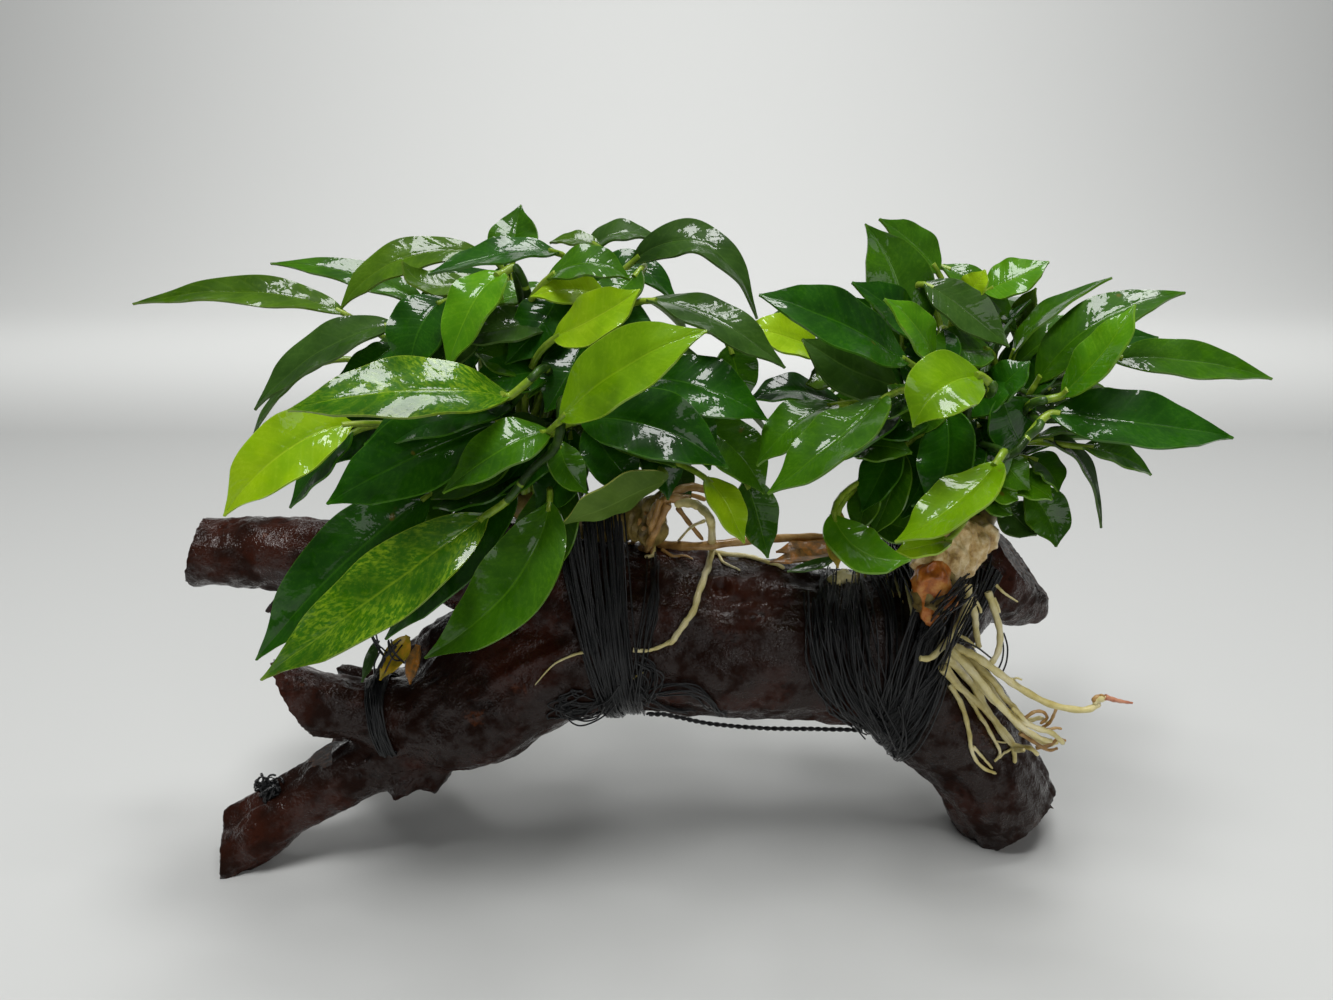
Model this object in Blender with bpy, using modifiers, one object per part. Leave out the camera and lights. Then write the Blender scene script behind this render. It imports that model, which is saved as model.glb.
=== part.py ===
# Two small anubias plants tied with black thread on a piece of driftwood.
# Metres, +Z up. The origin is on the ground, under the middle of the whole object.

import math

import bmesh
import bpy
from mathutils import Matrix, Vector, noise
from mathutils.bvhtree import BVHTree

MM = 0.001
GAP = 0.36 * MM

# The picture in which places are read, and the eye that saw it. Sizes are in mm.
PICTURE_WIDTH = 1333
PICTURE_HEIGHT = 1000
LENS_PIXELS = 1000
EYE_PITCH = math.radians(17.5)
EYE_HEIGHT = 150
EYE_AWAY = 200

# The middle of the object on the ground, in mm to the right of the eye and behind the picture's plane.
MIDDLE_ACROSS = 4.0
MIDDLE_BACK = 15.7

# Driftwood. Each limb is a run of (across, down, back, radius): a place in the picture, its depth in mm
# behind the picture's plane, and the limb's radius in mm there.
LIMBS = {
    "trunk": [(590, 618, 12, 18.5), (650, 622, 12, 18.8), (720, 634, 12, 19.2),
              (800, 642, 12, 18), (870, 645, 12, 17.5), (920, 632, 12, 17)],
    "upper_left_branch": [(192, 553, 14, 8.2), (300, 553, 14, 8), (420, 556, 13, 9),
                          (500, 572, 12, 12), (580, 600, 12, 16)],
    "lower_left_limb": [(600, 636, 12, 17), (535, 664, 8, 15.4), (470, 703, 5, 14.5),
                        (420, 717, 3, 11), (375, 713, 1, 7.5), (262, 690, -3, 6.4)],
    "left_leg": [(425, 735, 4, 9.5), (350, 773, 0, 7.0), (300, 806, -2, 5.7), (246, 845, -4, 5.4),
                 (205, 870, -5, 5.4)],
    "left_leg_lobe": [(345, 759, 3, 4.6), (270, 800, 2, 4.0), (200, 837, 1, 3.4)],
    "rear_leg": [(480, 700, 12, 11), (420, 700, 30, 8.5), (375, 720, 43, 7), (350, 748, 50, 6)],
    "rear_snag": [(420, 700, 30, 7), (375, 681, 35, 3.6), (338, 669, 38, 2.2)],
    "lower_twig": [(432, 757, 2, 4.4), (404, 785, -3, 3.2), (390, 790, -5, 2.9)],
    "upper_twig": [(436, 764, 1, 4), (425, 790, -3, 2.7)],
    "right_leg": [(890, 650, 12, 17), (935, 700, 9, 15), (982, 765, 8, 13), (1010, 820, 10, 12.5),
                  (1040, 872, 12, 12.5)],
    "right_stub": [(920, 600, 14, 17), (975, 580, 16, 12), (1012, 596, 18, 8), (1042, 607, 19, 3.4)],
    "branch_knob": [(252, 535, 12, 4), (252, 521, 12, 2.2)],
    "branch_snag": [(305, 585, 14, 3), (266, 612, 13, 1.4)],
    "crotch": [(530, 636, 14, 14), (465, 648, 15, 10), (415, 664, 16, 5.5)],
}
LIMB_STEPS = 4
LIMB_ROUNDNESS = 4
WOOD_BACK = 12
WOOD_VOXEL = 1.5 * MM
WOOD_FACES = 850
SOFTEN_FACTOR = 0.5
SOFTEN_TIMES = 3

# Lumps and hollows of the wood, and a finer set on them that is so much smaller and shallower.
GNARL_SIZE = 16 * MM
GNARL_DEPTH = 1.5 * MM
FINE_GNARL = 2.3
FINE_GNARL_SHARE = 0.5

# A copy that stands off from a solid stands off at its sharp edges by at most so many times the distance.
MOST_SHELL = 1.6
SHARP_ANGLE = math.radians(50)

BREAK_REACH = 32 * MM
GROUND_REACH = 200 * MM

# Saw and break faces: a point of the face, and the way it looks.
BREAKS = {
    "upper_left_branch": ((197, 555, 14), (-1.0, -0.15, 0.3)),
    "middle_stub": ((297, 700, -2), (-0.9, -0.25, -0.42)),
    "left_leg": ((222, 846, -6), (-0.95, -0.3, 0.1)),
    "right_leg": ((1026, 818, 5), (0.66, -0.35, -0.66)),
    "right_stub": ((1013, 565, 10), (0.74, -0.25, 0.62)),
}

# Forks: where each limb parts from the wood, a point further along it, and how wide it is at most, in mm.
FORKS = {
    "left_leg": ((392, 752, 2), (240, 850, -6), 11),
    "rear_leg": ((436, 700, 26), (360, 730, 46), 12),
    "upper_left_branch": ((482, 566, 12), (200, 553, 14), 14),
    "lower_left_limb": ((573, 655, 10), (300, 700, 0), 26),
    "right_leg": ((925, 690, 10), (1022, 814, 5), 20),
    "right_stub": ((972, 585, 16), (1042, 607, 19), 15),
}

# Rhizomes, as limbs.
LEFT_RHIZOME = [(478, 492, 8, 3.0), (530, 503, 8, 4.2), (590, 520, 8, 4.6),
                (640, 520, 5, 4.6), (655, 536, 0, 3.2)]
RIGHT_RHIZOME = [(978, 462, 8, 2.4), (982, 500, 7, 3.4), (970, 532, 3, 4.4), (944, 556, -3, 4.6),
                 (934, 590, -7, 4.6), (930, 614, -9, 3.2)]
RHIZOME_STEPS = 2

# Leaves. The outline is OUTLINE_SCALE * t ** OUTLINE_BASE * (1 - t) ** OUTLINE_TIP, which is 1 at its widest.
BLADE_THICKNESS = 0.6 * MM
BLADE_BASE_WIDTH = 1.2
BLADE_TIP_WIDTH = 0.5
BLADE_STEPS = 4
BLADE_SIDES = 2
SMALL_BLADE_STEPS = 3
SMALL_BLADE_SIDES = 1
OUTLINE_SCALE = 3.02
OUTLINE_BASE = 0.75
OUTLINE_TIP = 0.85
CUP_POWER = 1.4
MARGIN_WAVES = 13

# Leaf stalks. They leave the rhizome from both sides of its middle stretch, each turned by STALK_TURN radians
# from the one before. A stalk bulges aside to keep clear of the leaves, the wood and the thread, of which it
# may touch the last two over its first STALK_FREE probes.
STALK_STRETCH = slice(2, 8)
STALK_STRETCH_STEPS = 6
STALK_SPREAD = 2.0 * MM
STALK_TURN = 2.4
STALK_TURN_REACH = 0.5
STALK_TILT = 0.5
STALK_RISE = 0.4
STALK_ENTRY = 0.32
STALK_ENTRY_BULGE = 0.6
STALK_GAP = 0.8 * MM
STALK_OVERLAP = 2 * MM
STALK_RINGS = 3
STALK_BULGES = (0, 3, 6, 9, 12, 16)
STALK_WAYS = 10
STALK_PROBES = 24
STALK_PROBED = 22
STALK_FREE = 5
PETIOLE_RADIUS = 0.95
PETIOLE_END_RADIUS = 0.7

LEAF_GREEN = (0.05, 0.13, 0.012, 1)
YOUNG_GREEN = (0.22, 0.36, 0.01, 1)
STEM_GREEN = (0.26, 0.33, 0.05, 1)
ROOT_CREAM = (0.62, 0.5, 0.22, 1)
WOOD_BROWN = (0.035, 0.012, 0.008, 1)
THREAD_BLACK = (0.008, 0.009, 0.011, 1)
DEAD_TAN = (0.33, 0.2, 0.09, 1)

for old in list(bpy.data.objects):
    bpy.data.objects.remove(old)

PARTS = bpy.data.collections.new("anubias_on_driftwood")
bpy.context.scene.collection.children.link(PARTS)


def sight(across, down, back):
    # The place that the eye sees at a point of the picture, at a depth in mm.
    right = across - PICTURE_WIDTH / 2
    drop = down - PICTURE_HEIGHT / 2
    ahead = LENS_PIXELS * math.cos(EYE_PITCH) - drop * math.sin(EYE_PITCH)
    below = LENS_PIXELS * math.sin(EYE_PITCH) + drop * math.cos(EYE_PITCH)
    reach = (EYE_AWAY + back) / ahead
    return Vector((right * reach - MIDDLE_ACROSS, back - MIDDLE_BACK, EYE_HEIGHT - below * reach)) * MM


EYE = Vector((-MIDDLE_ACROSS, -EYE_AWAY - MIDDLE_BACK, EYE_HEIGHT)) * MM


def material(name, colour, roughness):
    made = bpy.data.materials.get(name) or bpy.data.materials.new(name)
    made.use_nodes = True
    shader = made.node_tree.nodes["Principled BSDF"]
    shader.inputs["Base Color"].default_value = colour
    shader.inputs["Roughness"].default_value = roughness
    shader.inputs["Metallic"].default_value = 0
    return made


def add(name, mesh):
    thing = bpy.data.objects.new(name, mesh)
    PARTS.objects.link(thing)
    return thing


def bake(thing):
    # Gives an object the mesh that its modifiers or its curve make.
    bpy.context.view_layer.update()
    shown = thing.evaluated_get(bpy.context.evaluated_depsgraph_get())
    mesh = bpy.data.meshes.new_from_object(shown)
    if thing.type == "CURVE":
        made = add(thing.name + "_mesh", mesh)
        bpy.data.objects.remove(thing)
        weld(made)
        return made
    thing.modifiers.clear()
    thing.data = mesh
    return thing


def weld(thing):
    shape = bmesh.new()
    shape.from_mesh(thing.data)
    bmesh.ops.remove_doubles(shape, verts=shape.verts, dist=0.00001)
    shape.to_mesh(thing.data)
    shape.free()


def copy_of(thing):
    return add(thing.name + "_copy", thing.data.copy())


def combine(thing, other, how, crossing=False):
    # Uses up the other solid. Crossing means that its own parts may run through each other.
    join = thing.modifiers.new("combine", "BOOLEAN")
    join.operation = how
    join.solver = "EXACT"
    join.use_self = crossing
    join.object = other
    bake(thing)
    bpy.data.objects.remove(other)
    return thing


def grown(thing, amount):
    # A copy whose faces stand off by the amount.
    shape = bmesh.new()
    shape.from_mesh(thing.data)
    moves = [vertex.normal * amount * min(vertex.calc_shell_factor(), MOST_SHELL) for vertex in shape.verts]
    for vertex, move in zip(shape.verts, moves):
        vertex.co += move
    mesh = bpy.data.meshes.new("grown")
    shape.to_mesh(mesh)
    shape.free()
    return add("grown", mesh)


def union_of(pieces):
    # One solid from closed pieces that run through each other, worked out in one step.
    shape = bmesh.new()
    for piece in pieces[1:]:
        shape.from_mesh(piece.data)
        bpy.data.objects.remove(piece)
    mesh = bpy.data.meshes.new("pieces")
    shape.to_mesh(mesh)
    shape.free()
    return largest_piece(combine(pieces[0], add("pieces", mesh), "UNION", crossing=True))


def largest_piece(thing):
    # Drops the crumbs that a cut leaves.
    shape = bmesh.new()
    shape.from_mesh(thing.data)
    unseen = set(shape.verts)
    groups = []
    while unseen:
        group = {unseen.pop()}
        edge_of_group = list(group)
        while edge_of_group:
            vertex = edge_of_group.pop()
            for edge in vertex.link_edges:
                other = edge.other_vert(vertex)
                if other in unseen:
                    unseen.discard(other)
                    group.add(other)
                    edge_of_group.append(other)
        groups.append(group)
    groups.sort(key=len, reverse=True)
    crumbs = [vertex for group in groups[1:] for vertex in group]
    bmesh.ops.delete(shape, geom=crumbs, context="VERTS")
    shape.to_mesh(thing.data)
    shape.free()
    return thing


def curve_between(before, here, there, after, t):
    # A value of a smooth curve between here and there.
    slope = (there - before) / 2
    next_slope = (after - here) / 2
    bend = 3 * (there - here) - 2 * slope - next_slope
    return here + slope * t + bend * t ** 2 + (slope + next_slope - 2 * (there - here)) * t ** 3


def smooth_run(points, steps):
    # Reads a smooth curve through the points, with so many steps between each two.
    run = []
    for i in range(len(points) - 1):
        knots = (points[max(i - 1, 0)], points[i], points[i + 1], points[min(i + 2, len(points) - 1)])
        for step in range(steps):
            run.append(tuple(curve_between(*values, step / steps) for values in zip(*knots)))
    run.append(tuple(points[-1]))
    return run


def tube(name, places, radii, roundness):
    # A tube with flat ends. The radii are in mm.
    curve = bpy.data.curves.new(name, "CURVE")
    curve.dimensions = "3D"
    curve.bevel_depth = MM
    curve.bevel_resolution = roundness
    curve.use_fill_caps = True
    spline = curve.splines.new("POLY")
    spline.points.add(len(places) - 1)
    for knot, place, radius in zip(spline.points, places, radii):
        knot.co = (*place, 1)
        knot.radius = radius
    return bake(add(name, curve))


def bar(start, end, half):
    # A square bar from start to end.
    along = end - start
    shape = bmesh.new()
    bmesh.ops.create_cube(shape, size=1)
    bmesh.ops.scale(shape, vec=(half * 2, half * 2, along.length), verts=shape.verts)
    turn = along.to_track_quat("Z", "Y").to_matrix().to_4x4()
    bmesh.ops.transform(shape, matrix=Matrix.Translation((start + end) / 2) @ turn, verts=shape.verts)
    mesh = bpy.data.meshes.new("bar")
    shape.to_mesh(mesh)
    shape.free()
    return add("bar", mesh)


def tree_of(things):
    shape = bmesh.new()
    for thing in things:
        shape.from_mesh(thing.data)
    tree = BVHTree.FromBMesh(shape)
    shape.free()
    return tree


def finish(thing, name, surface):
    thing.name = name
    thing.data.name = name
    thing.data.materials.clear()
    thing.data.materials.append(surface)
    thing.data.shade_smooth()
    thing.data.set_sharp_from_angle(angle=SHARP_ANGLE)
    return thing


# Driftwood

def gnarl(thing):
    # Moves the skin in and out to make lumps and hollows.
    for vertex, normal in zip(thing.data.vertices, [v.normal.copy() for v in thing.data.vertices]):
        place = vertex.co / GNARL_SIZE
        lump = noise.noise(place) + FINE_GNARL_SHARE * noise.noise(place * FINE_GNARL)
        vertex.co += normal * (GNARL_DEPTH * lump)


def make_wood():
    shape = bmesh.new()
    for name, points in LIMBS.items():
        run = smooth_run(points, LIMB_STEPS)
        limb = tube(name, [sight(*point[:3]) for point in run], [point[3] for point in run], LIMB_ROUNDNESS)
        shape.from_mesh(limb.data)
        bpy.data.objects.remove(limb)
    mesh = bpy.data.meshes.new("wood")
    shape.to_mesh(mesh)
    shape.free()
    wood = add("wood", mesh)
    skin = wood.modifiers.new("one skin", "REMESH")
    skin.mode = "VOXEL"
    skin.voxel_size = WOOD_VOXEL
    soften = wood.modifiers.new("soften", "SMOOTH")
    soften.factor = SOFTEN_FACTOR
    soften.iterations = SOFTEN_TIMES
    bake(wood)
    gnarl(wood)
    thin_out = wood.modifiers.new("fewer faces", "DECIMATE")
    thin_out.ratio = WOOD_FACES / (2 * len(wood.data.polygons))
    bake(wood)
    for place, facing in BREAKS.values():
        start = sight(*place)
        end = start + Vector(facing).normalized() * BREAK_REACH
        combine(wood, bar(start, end, BREAK_REACH / 2), "DIFFERENCE")
    combine(wood, bar(Vector((0, 0, 0)), Vector((0, 0, -GROUND_REACH)), GROUND_REACH), "DIFFERENCE")
    return largest_piece(wood)


def split_wood(wood, surface):
    # Parts the wood at its main forks, with a hair's gap at each.
    rest = copy_of(wood)
    for name, (start, end, half) in FORKS.items():
        start, end = sight(*start), sight(*end)
        limb = copy_of(rest)
        onward = (end - start).normalized()
        combine(limb, bar(start, end + onward * half * 2 * MM, half * MM), "INTERSECT")
        finish(largest_piece(limb), name, surface)
        combine(rest, bar(start - onward * GAP, end + onward * half * 2 * MM, half * MM + GAP), "DIFFERENCE")
        largest_piece(rest)
    finish(rest, "trunk", surface)


# Leaves

def outline(t):
    # The width of a lance-shaped leaf along its length, as a share of its widest.
    return OUTLINE_SCALE * t ** OUTLINE_BASE * (1 - t) ** OUTLINE_TIP


class Blade:
    def __init__(self, base, middle, tip, facing, width, twist, cup, wave):
        self.base, self.middle, self.tip = base, middle, tip
        self.facing, self.width, self.twist, self.cup, self.wave = facing, width, twist, cup, wave

    def rib(self, t):
        turn = 2 * self.middle - (self.base + self.tip) / 2
        return (1 - t) ** 2 * self.base + 2 * t * (1 - t) * turn + t * t * self.tip

    def heading(self, t):
        turn = 2 * self.middle - (self.base + self.tip) / 2
        return ((1 - t) * (turn - self.base) + t * (self.tip - turn)).normalized()

    def point(self, t, side):
        heading = self.heading(t)
        up = (self.facing - self.facing.dot(heading) * heading).normalized()
        up = Matrix.Rotation(math.radians(self.twist) * (t - 0.5), 3, heading) @ up
        across = heading.cross(up)
        least = BLADE_BASE_WIDTH + (BLADE_TIP_WIDTH - BLADE_BASE_WIDTH) * t
        half = max(self.width * outline(t), least) / 2 * MM
        lift = self.cup * half * abs(side) ** CUP_POWER
        lift += self.wave * half * side * side * math.sin(t * MARGIN_WAVES + side)
        return self.rib(t) + across * (side * half) + up * lift


def blade_mesh(blade, along, sides):
    shape = bmesh.new()
    bmesh.ops.create_grid(shape, x_segments=along, y_segments=sides, size=0.5)
    for vertex in shape.verts:
        t = min(max(vertex.co.x + 0.5, 0), 1)
        vertex.co = blade.point(t, vertex.co.y * 2)
    mesh = bpy.data.meshes.new("blade")
    shape.to_mesh(mesh)
    shape.free()
    return mesh


def blade_solid(blade, along=BLADE_STEPS, sides=BLADE_SIDES):
    thing = add("blade", blade_mesh(blade, along, sides))
    wall = thing.modifiers.new("thickness", "SOLIDIFY")
    wall.thickness = BLADE_THICKNESS
    wall.offset = 0
    return bake(thing)


def seen_blade(base, middle, tip, width, roll, twist=0, cup=0.16, wave=0.0):
    # A leaf read from the picture. A roll of 0 faces the eye, and 90 faces up.
    base, middle, tip = sight(*base), sight(*middle), sight(*tip)
    to_eye = (EYE - middle).normalized()
    side = (tip - base).cross(to_eye).normalized()
    if side.z < 0:
        side = -side
    facing = math.cos(math.radians(roll)) * to_eye + math.sin(math.radians(roll)) * side
    return Blade(base, middle, tip, facing, width, twist, cup, wave)


# Each large leaf: base, middle and tip as (across, down, back), its width in mm and its roll in degrees.
LEFT_LEAVES = [
    dict(base=(487, 515, -20), middle=(380, 592, -28), tip=(261, 680, -26), width=14.5, roll=22),
    dict(base=(550, 503, -16), middle=(510, 588, -24), tip=(425, 658, -22), width=14.5, roll=18),
    dict(base=(561, 420, -26), middle=(625, 366, -32), tip=(707, 331, -32), width=13, roll=28),
    dict(base=(549, 432, -20), middle=(500, 450, -25), tip=(443, 493, -25), width=11, roll=40),
    dict(base=(510, 396, -18), middle=(400, 391, -28), tip=(288, 411, -30), width=14, roll=42),
    dict(base=(582, 420, -20), middle=(655, 426, -28), tip=(728, 468, -28), width=14, roll=28),
    dict(base=(505, 420, -12), middle=(412, 458, -20), tip=(327, 504, -22), width=16, roll=26),
    dict(base=(555, 338, -18), middle=(598, 316, -24), tip=(640, 290, -24), width=9.5, roll=28),
    dict(base=(667, 477, -12), middle=(617, 500, -19), tip=(562, 524, -19), width=10, roll=130),
    dict(base=(430, 495, -10), middle=(345, 562, -17), tip=(256, 660, -20), width=15.5, roll=12),
    dict(base=(650, 380, -13), middle=(705, 388, -20), tip=(767, 420, -19), width=13, roll=35),
    dict(base=(706, 478, -12), middle=(728, 508, -16), tip=(744, 543, -16), width=8, roll=38),
    dict(base=(352, 424, -12), middle=(283, 452, -18), tip=(224, 516, -20), width=13, roll=24),
    dict(base=(503, 273, -8), middle=(472, 306, -14), tip=(448, 372, -16), width=11, roll=42),
    dict(base=(445, 300, -5), middle=(418, 330, -10), tip=(412, 378, -11), width=13, roll=35),
    dict(base=(648, 300, -8), middle=(715, 320, -14), tip=(785, 368, -15), width=10.5, roll=50, twist=30),
    dict(base=(548, 278, -8), middle=(590, 264, -11), tip=(630, 280, -10), width=9, roll=48),
    dict(base=(558, 252, 2), middle=(500, 254, -3), tip=(428, 275, -6), width=10, roll=62),
    dict(base=(632, 262, 0), middle=(705, 244, -5), tip=(757, 319, -8), width=9.5, roll=50, twist=-50),
    dict(base=(395, 325, -3), middle=(320, 350, -6), tip=(255, 410, -8), width=11, roll=54),
    dict(base=(480, 251, 12), middle=(395, 262, 8), tip=(341, 309, 6), width=9, roll=45),
    dict(base=(345, 314, 8), middle=(250, 292, 8), tip=(133, 304, 10), width=8, roll=42, wave=0.12),
    dict(base=(513, 262, 16), middle=(514, 238, 18), tip=(521, 205, 22), width=11, roll=20),
    dict(base=(690, 420, -4), middle=(735, 450, -10), tip=(764, 494, -12), width=12, roll=30),
]
RIGHT_LEAVES = [
    dict(base=(998, 461, -22), middle=(955, 504, -30), tip=(895, 542, -30), width=11.5, roll=40),
    dict(base=(981, 376, -22), middle=(942, 388, -29), tip=(913, 427, -30), width=12.5, roll=15),
    dict(base=(932, 362, -18), middle=(918, 330, -22), tip=(884, 299, -22), width=8, roll=45),
    dict(base=(945, 410, -11), middle=(947, 460, -17), tip=(927, 513, -17), width=12, roll=28),
    dict(base=(885, 397, -20), middle=(833, 442, -30), tip=(768, 494, -30), width=12.5, roll=42),
    dict(base=(832, 515, -16), middle=(860, 550, -22), tip=(911, 560, -22), width=10.5, roll=38),
    dict(base=(908, 362, -12), middle=(838, 322, -21), tip=(759, 295, -22), width=13, roll=40),
    dict(base=(1050, 414, -14), middle=(1140, 422, -20), tip=(1233, 438, -20), width=13.5, roll=40),
    dict(base=(1062, 396, -14), middle=(1102, 352, -18), tip=(1135, 305, -16), width=9, roll=40),
    dict(base=(1037, 384, -6), middle=(1095, 324, -10), tip=(1185, 293, -8), width=11.5, roll=40),
    dict(base=(835, 405, -14), middle=(795, 424, -20), tip=(757, 466, -20), width=11, roll=44),
    dict(base=(845, 404, -4), middle=(795, 391, -9), tip=(749, 400, -10), width=10, roll=58),
    dict(base=(1112, 360, -4), middle=(1190, 361, -6), tip=(1272, 379, -6), width=9.5, roll=40),
    dict(base=(900, 388, -6), middle=(850, 368, -12), tip=(802, 339, -12), width=13, roll=30),
    dict(base=(900, 345, 0), middle=(899, 285, 2), tip=(865, 224, 6), width=13.5, roll=15),
    dict(base=(985, 292, 6), middle=(1015, 278, 4), tip=(1049, 262, 4), width=10, roll=42),
    dict(base=(1012, 358, 0), middle=(1045, 315, -3), tip=(1112, 278, -4), width=8, roll=66),
]
YOUNG = {("left", 1), ("left", 3), ("left", 8), ("left", 13),
         ("right", 1), ("right", 2), ("right", 3), ("right", 6), ("right", 9)}

# Smaller leaves at the edges of each plant, made in one piece with its stems.
LEFT_SMALL_LEAVES = [
    dict(base=(558, 440, -17), middle=(567, 468, -20), tip=(588, 494, -20), width=7, roll=20),
    dict(base=(605, 298, -5), middle=(572, 290, -8), tip=(531, 297, -8), width=7.5, roll=35),
    dict(base=(352, 432, -6), middle=(322, 464, -9), tip=(290, 508, -10), width=10, roll=58),
    dict(base=(330, 360, 4), middle=(283, 390, 2), tip=(253, 438, 0), width=6, roll=75),
    dict(base=(480, 278, 4), middle=(432, 285, 0), tip=(402, 261, 0), width=8, roll=55),
    dict(base=(530, 465, -8), middle=(482, 492, -12), tip=(433, 508, -12), width=10, roll=60),
    dict(base=(730, 345, -2), middle=(737, 372, -4), tip=(747, 403, -6), width=9, roll=25),
    dict(base=(745, 480, -8), middle=(757, 515, -9), tip=(768, 558, -9), width=9.5, roll=25),
    dict(base=(600, 247, 14), middle=(575, 240, 14), tip=(550, 243, 16), width=6, roll=60),
    dict(base=(585, 252, 18), middle=(620, 233, 18), tip=(662, 242, 20), width=8, roll=60),
    dict(base=(545, 375, -4), middle=(510, 361, -8), tip=(475, 353, -8), width=10, roll=45),
]
RIGHT_SMALL_LEAVES = [
    dict(base=(822, 352, -4), middle=(785, 336, -8), tip=(740, 328, -8), width=9.5, roll=42),
    dict(base=(938, 272, 8), middle=(915, 246, 8), tip=(879, 219, 8), width=9.5, roll=45),
    dict(base=(942, 266, 11), middle=(985, 294, 7), tip=(1018, 334, 5), width=9, roll=55),
    dict(base=(1017, 334, 9), middle=(1024, 310, 7), tip=(1036, 288, 7), width=5.5, roll=30),
    dict(base=(1083, 447, -8), middle=(1120, 455, -10), tip=(1151, 475, -10), width=7, roll=52),
    dict(base=(1043, 439, -4), middle=(1083, 462, -5), tip=(1101, 528, -6), width=6, roll=68),
    dict(base=(852, 448, -8), middle=(880, 446, -12), tip=(912, 453, -14), width=9, roll=38),
    dict(base=(872, 470, -6), middle=(866, 502, -10), tip=(857, 536, -12), width=8, roll=35),
    dict(base=(1028, 458, -2), middle=(1048, 470, -4), tip=(1058, 492, -6), width=9, roll=58),
    dict(base=(1025, 490, 0), middle=(1047, 515, -2), tip=(1056, 547, -4), width=10, roll=25),
    dict(base=(1005, 503, 1), middle=(1018, 520, -1), tip=(1037, 535, -3), width=9, roll=25),
    dict(base=(1022, 445, -6), middle=(1010, 420, -10), tip=(1000, 392, -10), width=11.5, roll=25),
]

# Leaves on the far side, fanned round each plant's heart: the heart's place, and how many leaves.
LEFT_HEART = (545, 430, 8)
RIGHT_HEART = (978, 430, 10)
LEFT_BACK_LEAVES = 5
RIGHT_BACK_LEAVES = 4

# The fan's first bearing and its spread in degrees, and how far from the heart the leaves start, in mm.
FAN_START = 14
FAN_SPREAD = 146
FAN_OUT = 14

# The leaves lie in two tiers, the lower one first: the height of the base over the heart, then the heights
# of the middle and the tip over the base, in mm.
BACK_TIERS = [(-4, 9, -7), (12, 12, -1)]
BACK_REACH = 46
BACK_MIDDLE = 0.52
BACK_WIDTHS = (12, 11, 10)
BACK_LEAN = 0.35
BACK_TWIST = 12
BACK_CUP = 0.16

# Roots. Each is a run of (across, down, back) with its radius in mm at the start and at the tip.
# A depth of None lies on the wood as the eye sees it.
ROOT_KNOT_RADIUS = 2.6
LEFT_ROOT_KNOT = (657, 522, -4)
LEFT_ROOTS = [
    ([(653, 518, -1), (662, 506, -3), (680, 502, -5), (700, 506, -7), (711, 522, -9), (712, 548, None),
      (707, 572, None), (698, 594, None), (693, 612, None), (682, 628, None), (670, 643, None)], 0.85, 0.7),
    ([(671, 641, None), (655, 649, None), (637, 652, None)], 0.5, 0.3),
    ([(653, 525, 0), (655, 542, None), (700, 545, 6), (745, 541, 8), (828, 537, 14)], 1.0, 0.8),
    ([(700, 546, 4), (725, 550, None), (748, 556, None), (771, 564, None)], 0.75, 0.6),
    ([(652, 515, 0), (648, 535, None), (645, 552, None)], 1.0, 0.9),
    ([(654, 520, 0), (652, 540, None), (655, 557, None), (644, 557, None)], 0.7, 0.5),
    ([(655, 515, 1), (662, 500, 3), (685, 490, 5), (712, 490, 6)], 0.9, 0.8),
    ([(656, 520, 2), (680, 508, 4), (690, 524, 5), (703, 538, 6)], 0.6, 0.5),
]
RIGHT_ROOT_KNOT = (948, 655, -8)
RIGHT_ROOTS = [
    ([(948, 655, -8), (957, 674, -10), (968, 692, -11), (979, 706, -11)], 2.3, 2.1),
    ([(976, 700, -12), (1000, 719, -12), (1020, 732, -11), (1048, 735, -10)], 0.9, 0.7),
    ([(972, 706, -10), (985, 722, -10), (1000, 742, -9)], 1.0, 0.9),
    ([(978, 708, -12), (992, 726, -13), (1005, 745, -12), (1013, 761, -11)], 0.9, 0.8),
    ([(977, 704, -10), (1003, 728, -9), (1025, 744, -8), (1063, 746, -7)], 0.9, 0.7),
    ([(1002, 742, -11), (1020, 750, -12), (1036, 752, -11), (1050, 744, -10), (1060, 738, -9)], 0.8, 0.6),
    ([(954, 662, -12), (985, 668, -14), (1000, 680, -14), (1030, 697, -14), (1060, 707, -14),
      (1085, 709, -15), (1103, 701, -15), (1133, 703, -16)], 0.95, 0.6),
    ([(964, 700, -10), (966, 722, -8), (968, 740, -7), (975, 756, -7), (997, 772, -7)], 0.7, 0.6),
    ([(973, 581, -2), (968, 600, -6), (955, 625, -9), (946, 648, -10)], 0.9, 0.8),
    ([(964, 603, -7), (974, 612, -6), (976, 630, -6), (978, 648, -5)], 0.8, 0.7),
    ([(972, 584, -3), (988, 590, -3), (996, 612, -4), (1002, 640, -6), (998, 662, -9)], 0.85, 0.7),
]

# Black thread: wraps as (middle, way along the wood, width in mm, half height in mm), and the taut line.
WRAPS = {
    "left_wrap": ((613, 620, 12), (1.0, 0.0, 0.12), 12, 32),
    "right_wrap": ((905, 646, 12), (1.0, 0.0, -0.28), 19, 26),
    "stub_wrap": ((386, 711, 0), (1.0, 0.0, 0.2), 4.5, 11.2),
}
WRAP_DEPTH = 1.7 * MM
WRAP_GAP = 0.6 * MM
TAUT_LINE = [(648, 708, 2), (700, 722, 6), (760, 728, 7), (815, 729, 7), (862, 730, 6)]
THREAD_RADIUS = 0.5

# The knot, as a lumpy and flattened ball: its place in the picture, its radius, its lift off the wood and the
# size of its lumps in mm, and how deep and how flat they make it.
KNOT_PLACE = (272, 790)
KNOT_RADIUS = 3.2
KNOT_LIFT = 1.4
KNOT_LUMP_SIZE = 1.6
KNOT_LUMPS = 0.35
KNOT_FLATNESS = 0.7

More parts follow.
